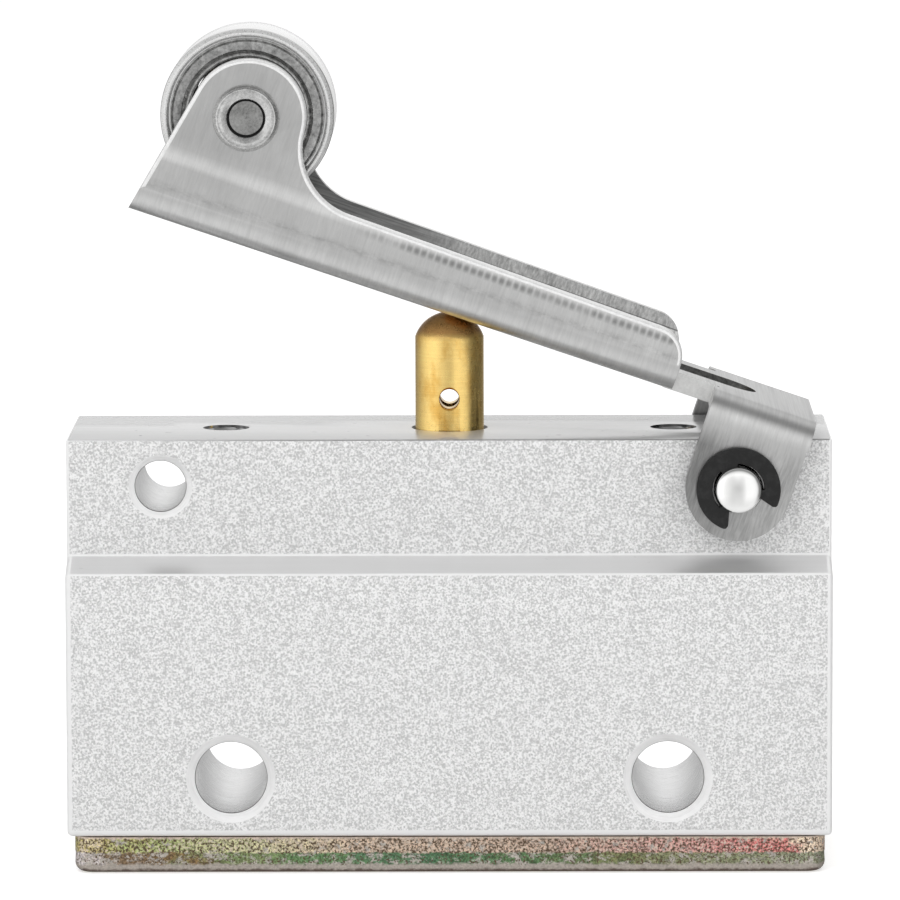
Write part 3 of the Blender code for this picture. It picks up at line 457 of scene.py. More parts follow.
zincSizes = {
    "line": 1.30, "low": 0.58, "bottom": 0.22, "strip": 2.2, "halfLength": 23.6,
    # colours along the upper band and the row of patches below it, from the left end
    "upper": [(0.0, (0.86, 0.74, 0.50)), (0.03, (0.50, 0.42, 0.16)), (0.10, (0.40, 0.46, 0.18)),
              (0.24, (0.60, 0.58, 0.34)), (0.36, (0.62, 0.48, 0.36)), (0.62, (0.54, 0.40, 0.31)),
              (0.80, (0.60, 0.34, 0.30)), (0.94, (0.66, 0.20, 0.19)), (0.975, (0.95, 0.74, 0.56))],
    "lower": [(0.02, (0.58, 0.53, 0.52)), (0.06, (0.22, 0.15, 0.09)), (0.13, (0.22, 0.14, 0.06)),
              (0.17, (0.22, 0.25, 0.11)), (0.30, (0.14, 0.24, 0.10)), (0.44, (0.08, 0.17, 0.09)),
              (0.60, (0.10, 0.18, 0.08)), (0.74, (0.19, 0.20, 0.09)), (0.96, (0.27, 0.29, 0.19))],
    "plain": (0.52, 0.48, 0.43), "edge": (0.47, 0.42, 0.37), "under": (0.13, 0.09, 0.07),
    "pale": (0.72, 0.60, 0.50), "dirt": (0.12, 0.08, 0.05),
}


def yellowZinc(s):
    # the passivation's film changes colour along the edge; above the tear line it is broken up
    # by pale and dark grains, below it lies a row of patches, and the rolled edge is plain
    surface, shader = newSurface("yellowZinc", s["plain"], 0.5, 0.38)
    tree = surface.node_tree
    coordinates = tree.nodes.new("ShaderNodeTexCoord")
    parts = node(tree, "SeparateXYZ", {0: coordinates.outputs["Object"]})
    half = 0.001 * s["halfLength"]
    wander = noise(tree, objectPlace(tree, scale=(600, 600, 600)), 1.0, 3.0, 0.7)
    wave = spread(tree, wander, 0.3, 0.7, -0.05, 0.05)
    along = math2(tree, "ADD", spread(tree, parts.outputs["X"], -half, half), wave)
    upper = colorSteps(tree, along, s["upper"])
    lower = colorSteps(tree, along, s["lower"])
    grain = noise(tree, objectPlace(tree), 7600.0, 1.5, 0.7)
    second = noise(tree, objectPlace(tree, location=(9, 5, 2)), 6500.0, 1.5, 0.7)
    coarse = noise(tree, objectPlace(tree, location=(4, 2, 1)), 2400.0, 2.0, 0.6)
    patches = noise(tree, objectPlace(tree, location=(1, 7, 3), scale=(1500, 1500, 2300)), 1.0, 3.0, 0.8)

    def speckled(color, dark, bright):
        made = node(tree, "VectorMath", {0: color}, operation="SCALE")
        tree.links.new(spread(tree, grain, 0.34, 0.66, dark, bright), made.inputs["Scale"])
        return made.outputs[0]

    ragged = math2(tree, "ADD", parts.outputs["Z"], spread(tree, coarse, 0.3, 0.7, -0.00009, 0.00009))

    def above(name, blur):
        # 0 below a level of the plate's thickness and 1 above it, with a ragged border
        height = 0.001 * s[name]
        return spread(tree, ragged, height - blur, height + blur)

    upper = blendColor(tree, spread(tree, second, 0.56, 0.66), speckled(upper, 0.4, 1.55), s["pale"])
    upper = blendColor(tree, spread(tree, second, 0.48, 0.41), upper, s["dirt"])
    upper = blendColor(tree, spread(tree, coarse, 0.60, 0.70), upper, speckled(s["plain"], 0.7, 1.2))
    lower = blendColor(tree, spread(tree, patches, 0.50, 0.60), speckled(lower, 0.5, 1.7),
                       speckled(s["plain"], 0.7, 1.2))
    lower = blendColor(tree, spread(tree, second, 0.44, 0.38), lower, s["dirt"])
    upper = blendColor(tree, above("strip", 0.00004), upper, speckled(s["pale"], 0.75, 1.15))
    color = blendColor(tree, above("line", 0.00004), lower, upper)
    color = blendColor(tree, above("low", 0.00007), speckled(s["edge"], 0.8, 1.15), color)
    color = blendColor(tree, above("bottom", 0.00008), s["under"], color)
    # a dark seam along the very top, and slow patches of the same film underneath
    color = blendColor(tree, spread(tree, parts.outputs["Z"], 0.00229, 0.00233), color, s["under"])
    under = blendColor(tree, spread(tree, wander, 0.4, 0.6), (0.42, 0.40, 0.20), (0.46, 0.32, 0.26))
    color = blendColor(tree, spread(tree, parts.outputs["Z"], 0.00003, 0.00006), under, color)
    tree.links.new(color, shader.inputs["Base Color"])
    tree.links.new(spread(tree, grain, 0.3, 0.7, 0.3, 0.5), shader.inputs["Roughness"])
    bumped(tree, shader, grain, 0.3, 0.00003)
    return surface


zincSurface = yellowZinc(zincSizes)


# Brushed steel of the lever

leverSizes = {
    "sheet": 1.2, "webAbovePin": 4.15, "webBehindPin": 3.4, "stopBevel": 0.5, "earSpacing": 13.7,
    "earHalfWidth": 3.3, "earBend": 1.9, "neckWidth": 8.4, "channelStart": 5.75, "channelWidth": 11.0,
    "channelBend": 1.75, "wallCorner": 1.9, "wallLowEnd": 3.68, "wallHighEnd": 4.08, "reach": 41.75,
    "slotWidth": 3.8, "slotNear": 0.4, "slotFar": 9.0, "relief": 0.7, "axleReach": 36.5, "axleAbovePin": 12.0,
    "cheekRadius": 3.62, "cheekSetback": 0.12, "cheekRise": 0.11, "cheekFillet": 4.35, "pinHole": 3.1,
    "axleHole": 3.2, "edge": 0.1, "rim": 0.26,
}

reachX = rollerCentre[0] - pinCentre[0]
reachZ = rollerCentre[2] - pinCentre[2]
leverAngle = math.atan2(leverSizes["axleAbovePin"], -leverSizes["axleReach"]) - math.atan2(reachZ, reachX)
leverPlace = Matrix.Translation(pinCentre) @ Matrix.Rotation(leverAngle, 4, "Y")
print("lever stands at", round(math.degrees(leverAngle), 2), "degrees")


brushedSizes = {
    "color": (0.64, 0.64, 0.635), "mottleLine": 0.36,
    "combBelowTop": 0.60, "combPitch": 0.47, "combEnd": 28.0,
    # brightness of the marks: the bend's line, the comb, the painted light in a strip below the rim and in
    # the band above the bend, and the painted shade on the cheeks
    "bendShade": 0.70, "combShade": 0.52, "paintedRimLight": 1.30, "paintedBendLightLevel": 1.06, "paintedCheekShade": 0.90,
    # painted shade and light along the channel's inside, darker by the roller, by millimetres from the pin
    "insideFar": 0.46, "insideNear": 0.86, "insideChange": 22.6, "insideLine": 0.78,
}


def leverPlaces(tree):
    # the lever's own frame: its origin on the pin, X along the web and Z up from it
    metres = tuple(0.001 * value for value in pinCentre)
    coordinates = tree.nodes.new("ShaderNodeTexCoord")
    toPin = node(tree, "VectorMath", {0: coordinates.outputs["Object"], 1: metres}, operation="SUBTRACT")
    turn = node(tree, "VectorRotate", {"Vector": toPin.outputs[0], "Angle": -leverAngle},
                rotation_type="Y_AXIS")

    def scaled(x, y, z):
        return node(tree, "Mapping", {"Vector": turn.outputs[0], "Scale": (x, y, z)}).outputs[0]

    parts = node(tree, "SeparateXYZ", {0: turn.outputs[0]})
    reach, height = parts.outputs["X"], parts.outputs["Z"]
    slope = (leverSizes["wallHighEnd"] - leverSizes["wallLowEnd"]) / 24
    topAtPin = 0.001 * (leverSizes["webAbovePin"] + leverSizes["wallLowEnd"] - slope * 7.5)
    top = math2(tree, "ADD", times(tree, reach, -slope), topAtPin)
    return scaled, reach, height, math2(tree, "SUBTRACT", top, height)


def brushedSteel(s):
    # grain across the lever, with the marks that the press left on the walls, and painted light and shade on
    # the walls, the ear and the cheeks
    surface, shader = newSurface("brushedSteel", s["color"], 1.0, 0.32)
    tree = surface.node_tree
    scaled, reach, height, belowTop = leverPlaces(tree)
    grain = useGroup(tree, brushedStreaks, Place=scaled(8200, 90, 900), Fine=0.9, Broad=0.4)
    streaks = grain.outputs["Streaks"]
    patches = noise(tree, scaled(420, 60, 420), 1.0, 3.0)

    # a mottled line where the bend ends on the wall's outside
    mottle = noise(tree, scaled(1300, 100, 2600), 1.0, 3.0, 0.7)
    bendTop = 0.001 * (leverSizes["webAbovePin"] + leverSizes["channelBend"] + s["mottleLine"])
    nearBend = math2(tree, "ABSOLUTE", math2(tree, "SUBTRACT", height, bendTop))
    bendMark = times(tree, spread(tree, nearBend, 0.0004, 0.0), spread(tree, mottle, 0.35, 0.7))
    start = -0.001 * leverSizes["channelStart"]
    onWall = spread(tree, reach, start, start - 0.0004)
    bendMark = times(tree, bendMark, onWall)

    # short dashes in a row below the wall's upper edge, |sin(pi x / pitch)| along the lever
    nearRow = math2(tree, "ABSOLUTE", math2(tree, "SUBTRACT", belowTop, 0.001 * s["combBelowTop"]))
    phase = times(tree, reach, 1000 * math.pi / s["combPitch"])
    wave = math2(tree, "ABSOLUTE", math2(tree, "SINE", phase))
    strength = noise(tree, scaled(520, 100, 300), 1.0, 3.0, 0.8)
    comb = times(tree, spread(tree, wave, 0.2, 0.9, 0.25, 1.0),
                 spread(tree, nearRow, 0.00034, 0.00008))
    comb = times(tree, comb, spread(tree, strength, 0.30, 0.52, 0.25, 1.0))
    combEnd = -0.001 * s["combEnd"]
    comb = times(tree, comb, spread(tree, reach, combEnd, combEnd + 0.004))
    comb = times(tree, comb, onWall)

    # painted light in a strip below the rim and in a band above the bend, and the coarser ear with painted
    # shade that darkens it towards the roller's side
    glow = times(tree, spread(tree, belowTop, 0.00058, 0.00025),
                 spread(tree, belowTop, -0.0006, 0.0))
    glow = times(tree, glow, onWall)
    # painted light in the band above the bend
    paintedBendLight = times(tree, spread(tree, height, 0.0056, 0.0048), onWall)
    ear = spread(tree, height, 0.0034, 0.0020)
    # painted shade on the ear, darker towards the roller's side
    paintedEarShade = times(tree, ear, spread(tree, reach, 0.0016, -0.0030, 0.20, 0.50))
    contrast = times(tree, math2(tree, "SUBTRACT", streaks, 0.5),
                     spread(tree, ear, 0.0, 1.0, 0.42, 1.3))
    shade = math2(tree, "ADD", 1.0, contrast)
    shade = times(tree, shade, spread(tree, patches, 0.3, 0.7, 0.95, 1.05))
    shade = times(tree, shade, spread(tree, bendMark, 0.0, 1.0, 1.0, s["bendShade"]))
    shade = times(tree, shade, spread(tree, comb, 0.0, 1.0, 1.0, s["combShade"]))
    # painted light in a strip below the rim
    shade = times(tree, shade, spread(tree, glow, 0.0, 1.0, 1.0, s["paintedRimLight"]))
    shade = times(tree, shade, spread(tree, paintedBendLight, 0.0, 1.0, 1.0, s["paintedBendLightLevel"]))
    # painted shade on the cheeks, above the wall's top
    cheek = spread(tree, belowTop, -0.0012, -0.0002, s["paintedCheekShade"], 1.0)
    shade = times(tree, shade, cheek)
    shade = times(tree, shade, math2(tree, "SUBTRACT", 1.0, paintedEarShade))
    scaledColor(tree, shader, s["color"], shade)
    tree.links.new(spread(tree, streaks, 0.2, 0.8, 0.38, 0.26), shader.inputs["Roughness"])
    bumped(tree, shader, streaks, 0.2, 0.00003)
    return surface


def channelSteel(s):
    # the inside: long scratches by the roller and a cross grain nearer the pin, under painted shade that is
    # darkest by the roller, with painted light low on the wall nearer the pin
    surface, shader = newSurface("channelSteel", s["color"], 0.45, 0.4)
    tree = surface.node_tree
    scaled, reach, _, belowTop = leverPlaces(tree)
    longGrain = useGroup(tree, brushedStreaks, Place=scaled(240, 6500, 6500), Fine=1.8, Broad=0.8)
    crossGrain = useGroup(tree, brushedStreaks, Place=scaled(7000, 300, 2600), Fine=1.3, Broad=0.4)
    change = -0.001 * s["insideChange"]
    near = spread(tree, reach, change - 0.002, change + 0.002)
    grain = node(tree, "Mix", {0: near, 2: longGrain.outputs["Streaks"],
                               3: crossGrain.outputs["Streaks"]}).outputs[0]
    lineAt = math2(tree, "ABSOLUTE", math2(tree, "SUBTRACT", belowTop, 0.001 * s["insideLine"]))
    line = times(tree, spread(tree, lineAt, 0.00006, 0.00002),
                 spread(tree, near, 0.0, 1.0, 0.3, 1.0))
    below = spread(tree, belowTop, 0.001 * s["insideLine"], 0.001 * s["insideLine"] + 0.0001)
    # painted shade along the channel: darkest by the roller, paler towards the pin
    shade = spread(tree, near, 0.0, 1.0, s["insideFar"], s["insideNear"])
    shade = times(tree, shade, spread(tree, grain, 0.2, 0.8, 0.55, 1.45))
    # painted light on the wall below the line, nearer the pin
    paintedWallLight = times(tree, below, near)
    shade = times(tree, shade, spread(tree, paintedWallLight, 0.0, 1.0, 1.0, 1.35))
    shade = times(tree, shade, spread(tree, line, 0.0, 1.0, 1.0, 0.35))
    scaledColor(tree, shader, s["color"], shade)
    bumped(tree, shader, grain, 0.3, 0.00003)
    return surface


def wornSteel(name, color, metallic, roughness, contrast):
    # plain worn steel in several tones: polished rims whose paleness is partly a painted highlight, sheared
    # edges and drilled floors that are partly painted shade, and a groove painted in shadow
    surface, shader = newSurface(name, color, metallic, roughness)
    tree = surface.node_tree
    wear = noise(tree, objectPlace(tree), 1500.0, 4.0, 0.65)
    fine = noise(tree, objectPlace(tree), 7000.0, 2.0, 0.6)
    mixed = math2(tree, "ADD", times(tree, wear, 0.5), times(tree, fine, 0.5))
    scaledColor(tree, shader, color, spread(tree, mixed, 0.35, 0.65, 1 - contrast, 1 + contrast))
    uneven = spread(tree, fine, 0.3, 0.7, roughness - 0.06, roughness + 0.1)
    tree.links.new(uneven, shader.inputs["Roughness"])
    bumped(tree, shader, mixed, 0.2, 0.00003)
    return surface


leverSurface = brushedSteel(brushedSizes)
channelSurface = channelSteel(brushedSizes)
# pale rims, partly a painted highlight
rimSurface = wornSteel("rimSteel", (0.93, 0.93, 0.925), 0.45, 0.34, 0.08)
neckSurface = wornSteel("neckSteel", (0.80, 0.80, 0.79), 0.7, 0.34, 0.08)
# dark slot walls, partly painted shade
shearedShadedSurface = wornSteel("shearedShadedSteel", (0.16, 0.16, 0.155), 0.9, 0.4, 0.4)


def bentSection(halfWidth, base, tip, bend, sheet, steps=8):
    # a U bent in sheet: the web's outer face lies at base and the legs end at tip
    way = 1 if tip > base else -1
    legs = []
    for radius, leg in ((bend, halfWidth), (bend - sheet, halfWidth - sheet)):
        curve = arcPoints((0, 0), radius, 0, 90, steps)
        side = np.column_stack([halfWidth - bend + curve[:, 0], base + way * (bend - curve[:, 1])])
        legs.append(np.vstack([[leg, tip], side]))
    outer, inner = legs
    mirror = np.array([-1, 1])
    return np.vstack([outer, (outer * mirror)[::-1], inner * mirror, inner[::-1]])


def wallOutline(s):
    # side view of the channel and its cheeks, with x running back towards the pin
    cheek = np.array([s["cheekSetback"] - s["axleReach"], s["axleAbovePin"] + s["cheekRise"]])
    lowTop = s["webAbovePin"] + s["wallLowEnd"]
    highTop = s["webAbovePin"] + s["wallHighEnd"]
    rise = highTop + s["cheekFillet"] - cheek[1]
    run = math.sqrt((s["cheekFillet"] + s["cheekRadius"]) ** 2 - rise ** 2)
    fillet = (cheek[0] + run, highTop + s["cheekFillet"])
    meet = math.degrees(math.atan2(rise, run))
    corner = np.array([-s["reach"], s["webAbovePin"]])
    away = cheek - corner
    lean = math.degrees(math.atan2(away[1], away[0]) + math.asin(s["cheekRadius"] / np.linalg.norm(away)))
    foot = 1.0 / math.tan(math.radians(lean))
    return np.vstack([
        [[-s["channelStart"], s["webAbovePin"] - 1]],
        arcPoints((-s["channelStart"] - s["wallCorner"], lowTop - s["wallCorner"]),
                  s["wallCorner"], 0, 90, 12),
        arcPoints(fillet, s["cheekFillet"], -90, meet - 180, 16),
        arcPoints(cheek, s["cheekRadius"], meet, lean + 90, 40),
        [[corner[0] - foot, corner[1] - 1]],
    ])


def stadium(near, far, halfWidth, steps=16):
    # a slot's outline, from its rounded near end to its rounded far end
    return np.vstack([arcPoints((far - halfWidth, 0), halfWidth, -90, 90, steps),
                      arcPoints((near + halfWidth, 0), halfWidth, 90, 270, steps)])


def makeLever(s):
    halfWidth = s["channelWidth"] / 2
    web = s["webAbovePin"]
    webTop = web + s["sheet"]
    top = s["axleAbovePin"] + s["cheekRise"] + s["cheekRadius"] + 1
    lever = prism("leverArm", bentSection(halfWidth, web, top, s["channelBend"], s["sheet"]),
                  -s["reach"] - 2, 1 - s["channelStart"], "X")
    combine(lever, prism("cut", wallOutline(s), -halfWidth - 1, halfWidth + 1, "Y"), "INTERSECT")
    earOut = s["earSpacing"] / 2 + s["sheet"]
    bracket = prism("bracket", bentSection(earOut, webTop, -s["earHalfWidth"] - 1, s["earBend"], s["sheet"]),
                    -s["earHalfWidth"] - 1, s["webBehindPin"] + 1, "X")
    back, bendEnd = s["webBehindPin"], webTop - s["earBend"]
    ears = np.vstack([arcPoints((0, 0), s["earHalfWidth"], 180, 360, 40),
                      [[s["earHalfWidth"], bendEnd], [back, bendEnd + back - s["earHalfWidth"]],
                       [back, webTop + 1], [-s["earHalfWidth"], webTop + 1]]])
    combine(bracket, prism("cut", ears, -earOut - 1, earOut + 1, "Y"), "INTERSECT")
    neck = s["neckWidth"] / 2
    far, near = -s["channelStart"] - s["sheet"] / 2, s["sheet"] / 2 - s["earHalfWidth"]
    strip = [[far, -neck], [near, -neck], [near, neck], [far, neck]]
    combine(lever, prism("cut", strip, web, webTop, "Z"), "UNION")
    combine(lever, bracket, "UNION")
    foot = back - s["stopBevel"]
    bevel = [[foot - 1, web - 1], [back + 1, web - 1], [back + 1, web + s["stopBevel"] + 1]]
    combine(lever, prism("cut", bevel, -s["earSpacing"] / 2, s["earSpacing"] / 2, "Y"))
    slot = prism("cut", stadium(-s["slotFar"], -s["slotNear"], s["slotWidth"] / 2), web - 1, webTop + 1, "Z")
    combine(lever, slot)
    relief = s["relief"] / 2
    for way in (-1, 1):
        notch = [[0, web - 1], [relief, web - 1], [relief, webTop + 1], [0, webTop + 1]]
        combine(lever, turned("cut", notch, 32, "Z", (-s["earHalfWidth"], way * (neck + relief), 0)))
    hole = s["pinHole"] / 2
    combine(lever, turned("cut", [[0, -12], [hole, -12], [hole, 12], [0, 12]], 64, "Y"))
    hole = s["axleHole"] / 2
    combine(lever, turned("cut", [[0, -8], [hole, -8], [hole, 8], [0, 8]], 64, "Y",
                          (-s["axleReach"], 0, s["axleAbovePin"])))
    weld(lever)
    paintLever(lever, s)
    bevelByWeight(lever, rimWeights(lever, s), s["rim"], 4, slot=2)
    return finishPiece(lever, "lever", ["lever_arm"], None, s["edge"], 3, leverPlace)


def rimWeights(lever, s):
    # 1 on the sharp outer rims of the walls and cheeks, and 0 on every other edge and the holes
    first, second = edgeEnds(lever.data)
    wall = s["channelWidth"] / 2
    bendTop = s["webAbovePin"] + s["channelBend"] - 0.01
    onFace = (np.abs(np.abs(first[:, 1]) - wall) < 0.01) & (np.abs(np.abs(second[:, 1]) - wall) < 0.01)
    onWall = (np.minimum(first[:, 2], second[:, 2]) > bendTop) & (first[:, 0] < 0.1 - s["channelStart"])
    toAxle = np.hypot(first[:, 0] + s["axleReach"], first[:, 2] - s["axleAbovePin"])
    return onFace & onWall & (toAxle > 2) & (edgeAngles(lever.data) > 45)


def paintLever(lever, s):
    # which surface each face has: 0 brushed, 1 inside the channel, 2 rims, 3 neck, 4 sheared
    centres, normals = faceData(lever.data)[:2]
    x, y, z = np.abs(centres).T
    wall, web = s["channelWidth"] / 2, s["webAbovePin"]
    toAxle = np.hypot(centres[:, 0] + s["axleReach"], centres[:, 2] - s["axleAbovePin"])
    kind = np.zeros(len(centres), int)
    inChannel = (x > s["channelStart"]) & (centres[:, 0] < 0)
    facing = normals[:, 1] * np.sign(centres[:, 1]) < 0.3
    between = (y < wall - 0.6 * s["sheet"]) & (z > web + 0.6 * s["sheet"]) & (normals[:, 2] > -0.3)
    kind[inChannel & facing & between] = 1
    onTop = (y > wall - s["sheet"]) & (z > web + s["channelBend"]) & (np.abs(normals[:, 1]) < 0.1)
    # rims, partly a painted highlight
    kind[inChannel & onTop & (toAxle > 2) & (centres[:, 1] < 0)] = 2
    inWeb = (z > web + 0.01) & (z < web + s["sheet"] - 0.01) & (np.abs(normals[:, 2]) < 0.1)
    kind[inWeb & (np.abs(y - s["neckWidth"] / 2) < 0.01) & (x < s["channelStart"] + 0.1)] = 3
    # slot walls, partly painted shade
    kind[inWeb & (y < s["slotWidth"] / 2 + 0.01) & (centres[:, 0] > -s["slotFar"] - 0.01) & (x > 0.3)] = 4
    for surface in (leverSurface, channelSurface, rimSurface, neckSurface, shearedShadedSurface):
        lever.data.materials.append(surface)
    lever.data.polygons.foreach_set("material_index", kind)


lever = makeLever(leverSizes)
print("lever made,", len(lever.data.polygons), "faces")


# Block

blockSizes = {
    "length": 48.0, "low": 2.4, "high": 27.2, "lowerDepth": 18.0, "upperDepth": 13.2, "upperHeight": 7.3,
    "shoulderRise": 0.86, "edge": 0.42, "mountHole": 4.5, "mountInset": 10.3, "mountHeight": 3.7,
    "mountChamfer": 0.55, "pivotHole": 3.2, "pivotChamfer": 0.4, "topHole": 2.6, "topInset": 9.8,
    "topDepth": 6.0, "topPitch": 0.5, "port": 8.8, "portRoof": 0.6, "portDepth": 8.0, "portChamfer": 0.6,
    "portPitch": 0.907, "portThread": 0.42, "passage": 2.4, "passageOffset": 2.9, "guide": 4.55,
    "guideChamfer": 0.15, "guideLength": 5.4, "outlet": 7.0, "inlet": 11.0, "seatAbovePort": 0.2,
    "sealBelowTop": 2.2, "sealWidth": 1.4, "sealDepth": 1.1, "coverGroove": (6.1, 7.7), "coverDepth": 1.0,
    "topThread": 0.2, "topChamfer": 0.17, "screwHole": 1.55, "screwWall": 8.0, "screwTip": 8.9,
}


def throughCutter(radius, halfLength, chamfer, place, sides=96):
    # a cross hole with a 45 degree chamfer at both mouths, its edges a little broken
    reach = halfLength + 1
    half = [[radius, 0], [radius, halfLength - chamfer], [radius + chamfer + 1, reach], [0, reach]]
    half = softened(half, [0, 0.05, 0, 0], 3)
    profile = np.vstack([half[::-1], half[1:] * np.array([1, -1])])
    return turned("cut", profile, sides, "Y", place)


def twoTone(cutter, halfLength, chamfer):
    # pale chamfers whose near-white is partly a painted highlight, bright bores, and a thin line of painted
    # shade where the two meet
    centres = faceData(cutter.data)[0]
    depth = halfLength - chamfer - np.abs(centres[:, 1])
    # kind 2, the thin ring where chamfer meets bore, is painted shade
    kind = np.where(depth > 0.05, 0, np.where(depth > -0.05, 2, 1))
    for surface in (boreSurface, chamferSurface, paintedShadeSurface):
        cutter.data.materials.append(surface)
    cutter.data.polygons.foreach_set("material_index", kind.astype(int))
    return cutter


def threadCutter(radius, depth, pitch, height, chamfer, axis, flip, place, sides=72):
    # r(a, h) = radius + height * ridge(h / pitch - a / 2 pi), where ridge is a rounded saw wave
    # that fades out at the mouth and at the foot; the mouth has its chamfer
    perTurn = 12
    rows = int(depth / pitch * perTurn)
    h = np.concatenate([[1.0, 1.0, 0.0], -np.linspace(chamfer, depth, rows), [-depth]])[:, None]
    a = np.linspace(0, 2 * np.pi, sides, endpoint=False)[None, :]
    phase = (h / pitch - a / (2 * np.pi)) % 1.0
    ridge = np.clip(1.25 - 2.5 * np.abs(phase - 0.5), 0, 1) * (np.abs(phase - 0.5) < 0.5)
    fade = np.clip((depth + h) / pitch - 0.6, 0, 1) * (h < -chamfer * 0.5)
    r = radius + height * ridge * fade + 0 * a
    r[0], r[1], r[2], r[-1] = 0, radius + chamfer + 1.0, radius + chamfer, 0
    across, beside, along = r * np.cos(a), r * np.sin(a), h + 0 * a
    if flip:
        across, along = -across, -along
    return addPiece("cut", turnTo(axis, across, beside, along) + np.array(place),
                    gridFaces(len(h), sides, False, True).tolist())


def edgeWeights(block, s):
    # how much of the widest rounding each edge takes, by where it lies on the section
    first, second = edgeEnds(block.data)
    middle = (np.abs(first) + np.abs(second)) / 2
    low = middle[:, 2] < s["low"] + 0.01
    top = middle[:, 2] > s["high"] - 0.01
    lengthwise = np.abs(first[:, 0] - second[:, 0]) > 1
    upper = middle[:, 2] > s["high"] - s["upperHeight"] / 2 - 0.5
    return np.where(lengthwise, np.where(low, 1.0, np.where(top, 0.16, 0.25)),
                    np.where(top, 0.25, np.where(upper, 0.4, 0.8)))


def paintBlock(block, s):
    # blasted sides, a smooth top and ledges, pale edges that are partly a painted highlight, and a thin line
    # of painted shade along the top's edges
    mesh = block.data
    for surface in (blockSurface, topSurface, ledgeSurface, edgeSurface, edgeShadeSurface):
        mesh.materials.append(surface)
    centres, normals, areas = faceData(mesh)
    up, height = normals[:, 2], centres[:, 2]
    wide = areas > s["length"] * 0.5
    # the narrow faces default to the pale edges, partly a painted highlight
    kind = np.full(len(areas), 3)
    kind[wide] = 0
    kind[wide & (up > 0.5) & (height > s["high"] - 0.1)] = 1
    kind[wide & (up > 0.5) & (height < s["high"] - 0.1)] = 2
    # narrow faces at the top take the thin line of painted shade
    kind[~wide & (areas > 1) & (height > s["high"] - 0.1)] = 4
    mesh.polygons.foreach_set("material_index", kind)


def makeBlock(s):
    lowY, highY = s["lowerDepth"] / 2, s["upperDepth"] / 2
    shoulder = s["high"] - s["upperHeight"]
    portHeight = shoulder - s["shoulderRise"] - s["portRoof"] - s["port"] / 2
    half = [[lowY, s["low"]], [lowY, shoulder - s["shoulderRise"]], [highY, shoulder], [highY, s["high"]]]
    section = np.array(half + [[-y, z] for y, z in reversed(half)])
    x = s["length"] / 2
    block = prism("valveBlock", section, -x, x, "X")
    bevelByWeight(block, edgeWeights(block, s), s["edge"], 4)
    paintBlock(block, s)

    guide = s["guide"] / 2
    groove = guide + s["sealDepth"]
    sealTop, seatTop = s["high"] - s["sealBelowTop"], portHeight + s["seatAbovePort"]
    bore = [[0, s["high"] + 1], [guide + s["guideChamfer"] + 1, s["high"] + 1],
            [guide, s["high"] - s["guideChamfer"]], [guide, sealTop], [groove, sealTop],
            [groove, sealTop - s["sealWidth"]],
            [guide, sealTop - s["sealWidth"]], [guide, s["high"] - s["guideLength"]],
            [s["outlet"] / 2, s["high"] - s["guideLength"]], [s["outlet"] / 2, seatTop],
            [s["inlet"] / 2, seatTop], [s["inlet"] / 2, s["low"] - 1], [0, s["low"] - 1]]
    # the plunger's bore and its chamfers, painted in shade
    combine(block, turned("cut", bore), surface=paintedShadeSurface)
    grooveIn, grooveOut = s["coverGroove"]
    grooveRoof = s["low"] + s["coverDepth"]
    ring = [[grooveIn, grooveRoof], [grooveOut, grooveRoof],
            [grooveOut, s["low"] - 1], [grooveIn, s["low"] - 1]]
    combine(block, turned("cut", ring, closed=True), surface=cutSurface)
    for side in (-1, 1):
        place = (side * (x - s["mountInset"]), 0, s["low"] + s["mountHeight"])
        cutter = throughCutter(s["mountHole"] / 2, lowY, s["mountChamfer"], place)
        combine(block, twoTone(cutter, lowY, s["mountChamfer"]))
        place = (side * pinCentre[0], 0, pinCentre[2])
        cutter = throughCutter(s["pivotHole"] / 2, highY, s["pivotChamfer"], place)
        combine(block, twoTone(cutter, highY, s["pivotChamfer"]))
        place = (side * (x - s["topInset"]), 0, s["high"])
        thread = threadCutter(s["topHole"] / 2, s["topDepth"], s["topPitch"], s["topThread"],
                              s["topChamfer"], "Z", False, place, 48)
        combine(block, thread, surface=threadSurface)
        place = (side * x, 0, portHeight)
        thread = threadCutter(s["port"] / 2 - 0.05, s["portDepth"], s["portPitch"],
                              s["portThread"], s["portChamfer"], "X", side < 0, place)
        combine(block, thread, surface=cutSurface)
        inward = x - s["portDepth"] + 1
        passage = [[0, 1], [s["passage"] / 2, 1], [s["passage"] / 2, inward], [0, inward]]
        passage = np.array(passage) * np.array([1, side])
        combine(block, turned("cut", passage, 48, "X", (0, 0, portHeight + side * s["passageOffset"])),
                surface=cutSurface)
    for screwX, screwY in screwPlaces:
        hole = [[0, s["low"] - 1], [s["screwHole"], s["low"] - 1],
                [s["screwHole"], s["screwWall"]], [0, s["screwTip"]]]
        combine(block, turned("cut", hole, 32, "Z", (screwX, screwY, 0)), surface=cutSurface)
    weld(block)
    return finishPiece(block, "housing", ["valve_body"], sharpDeg=28)


screwPlaces = [(x, y) for x in (-18.8, 18.8) for y in (-4.8, 4.8)]
block = makeBlock(blockSizes)
print("block made,", len(block.data.polygons), "faces")


# Base plate and its screws

plateSizes = {"length": 47.2, "depth": 17.0, "thickness": 2.35, "corner": 1.2, "rollover": 0.6, "step": 1.32,
              "screwHole": 1.55, "screwHead": 2.85}


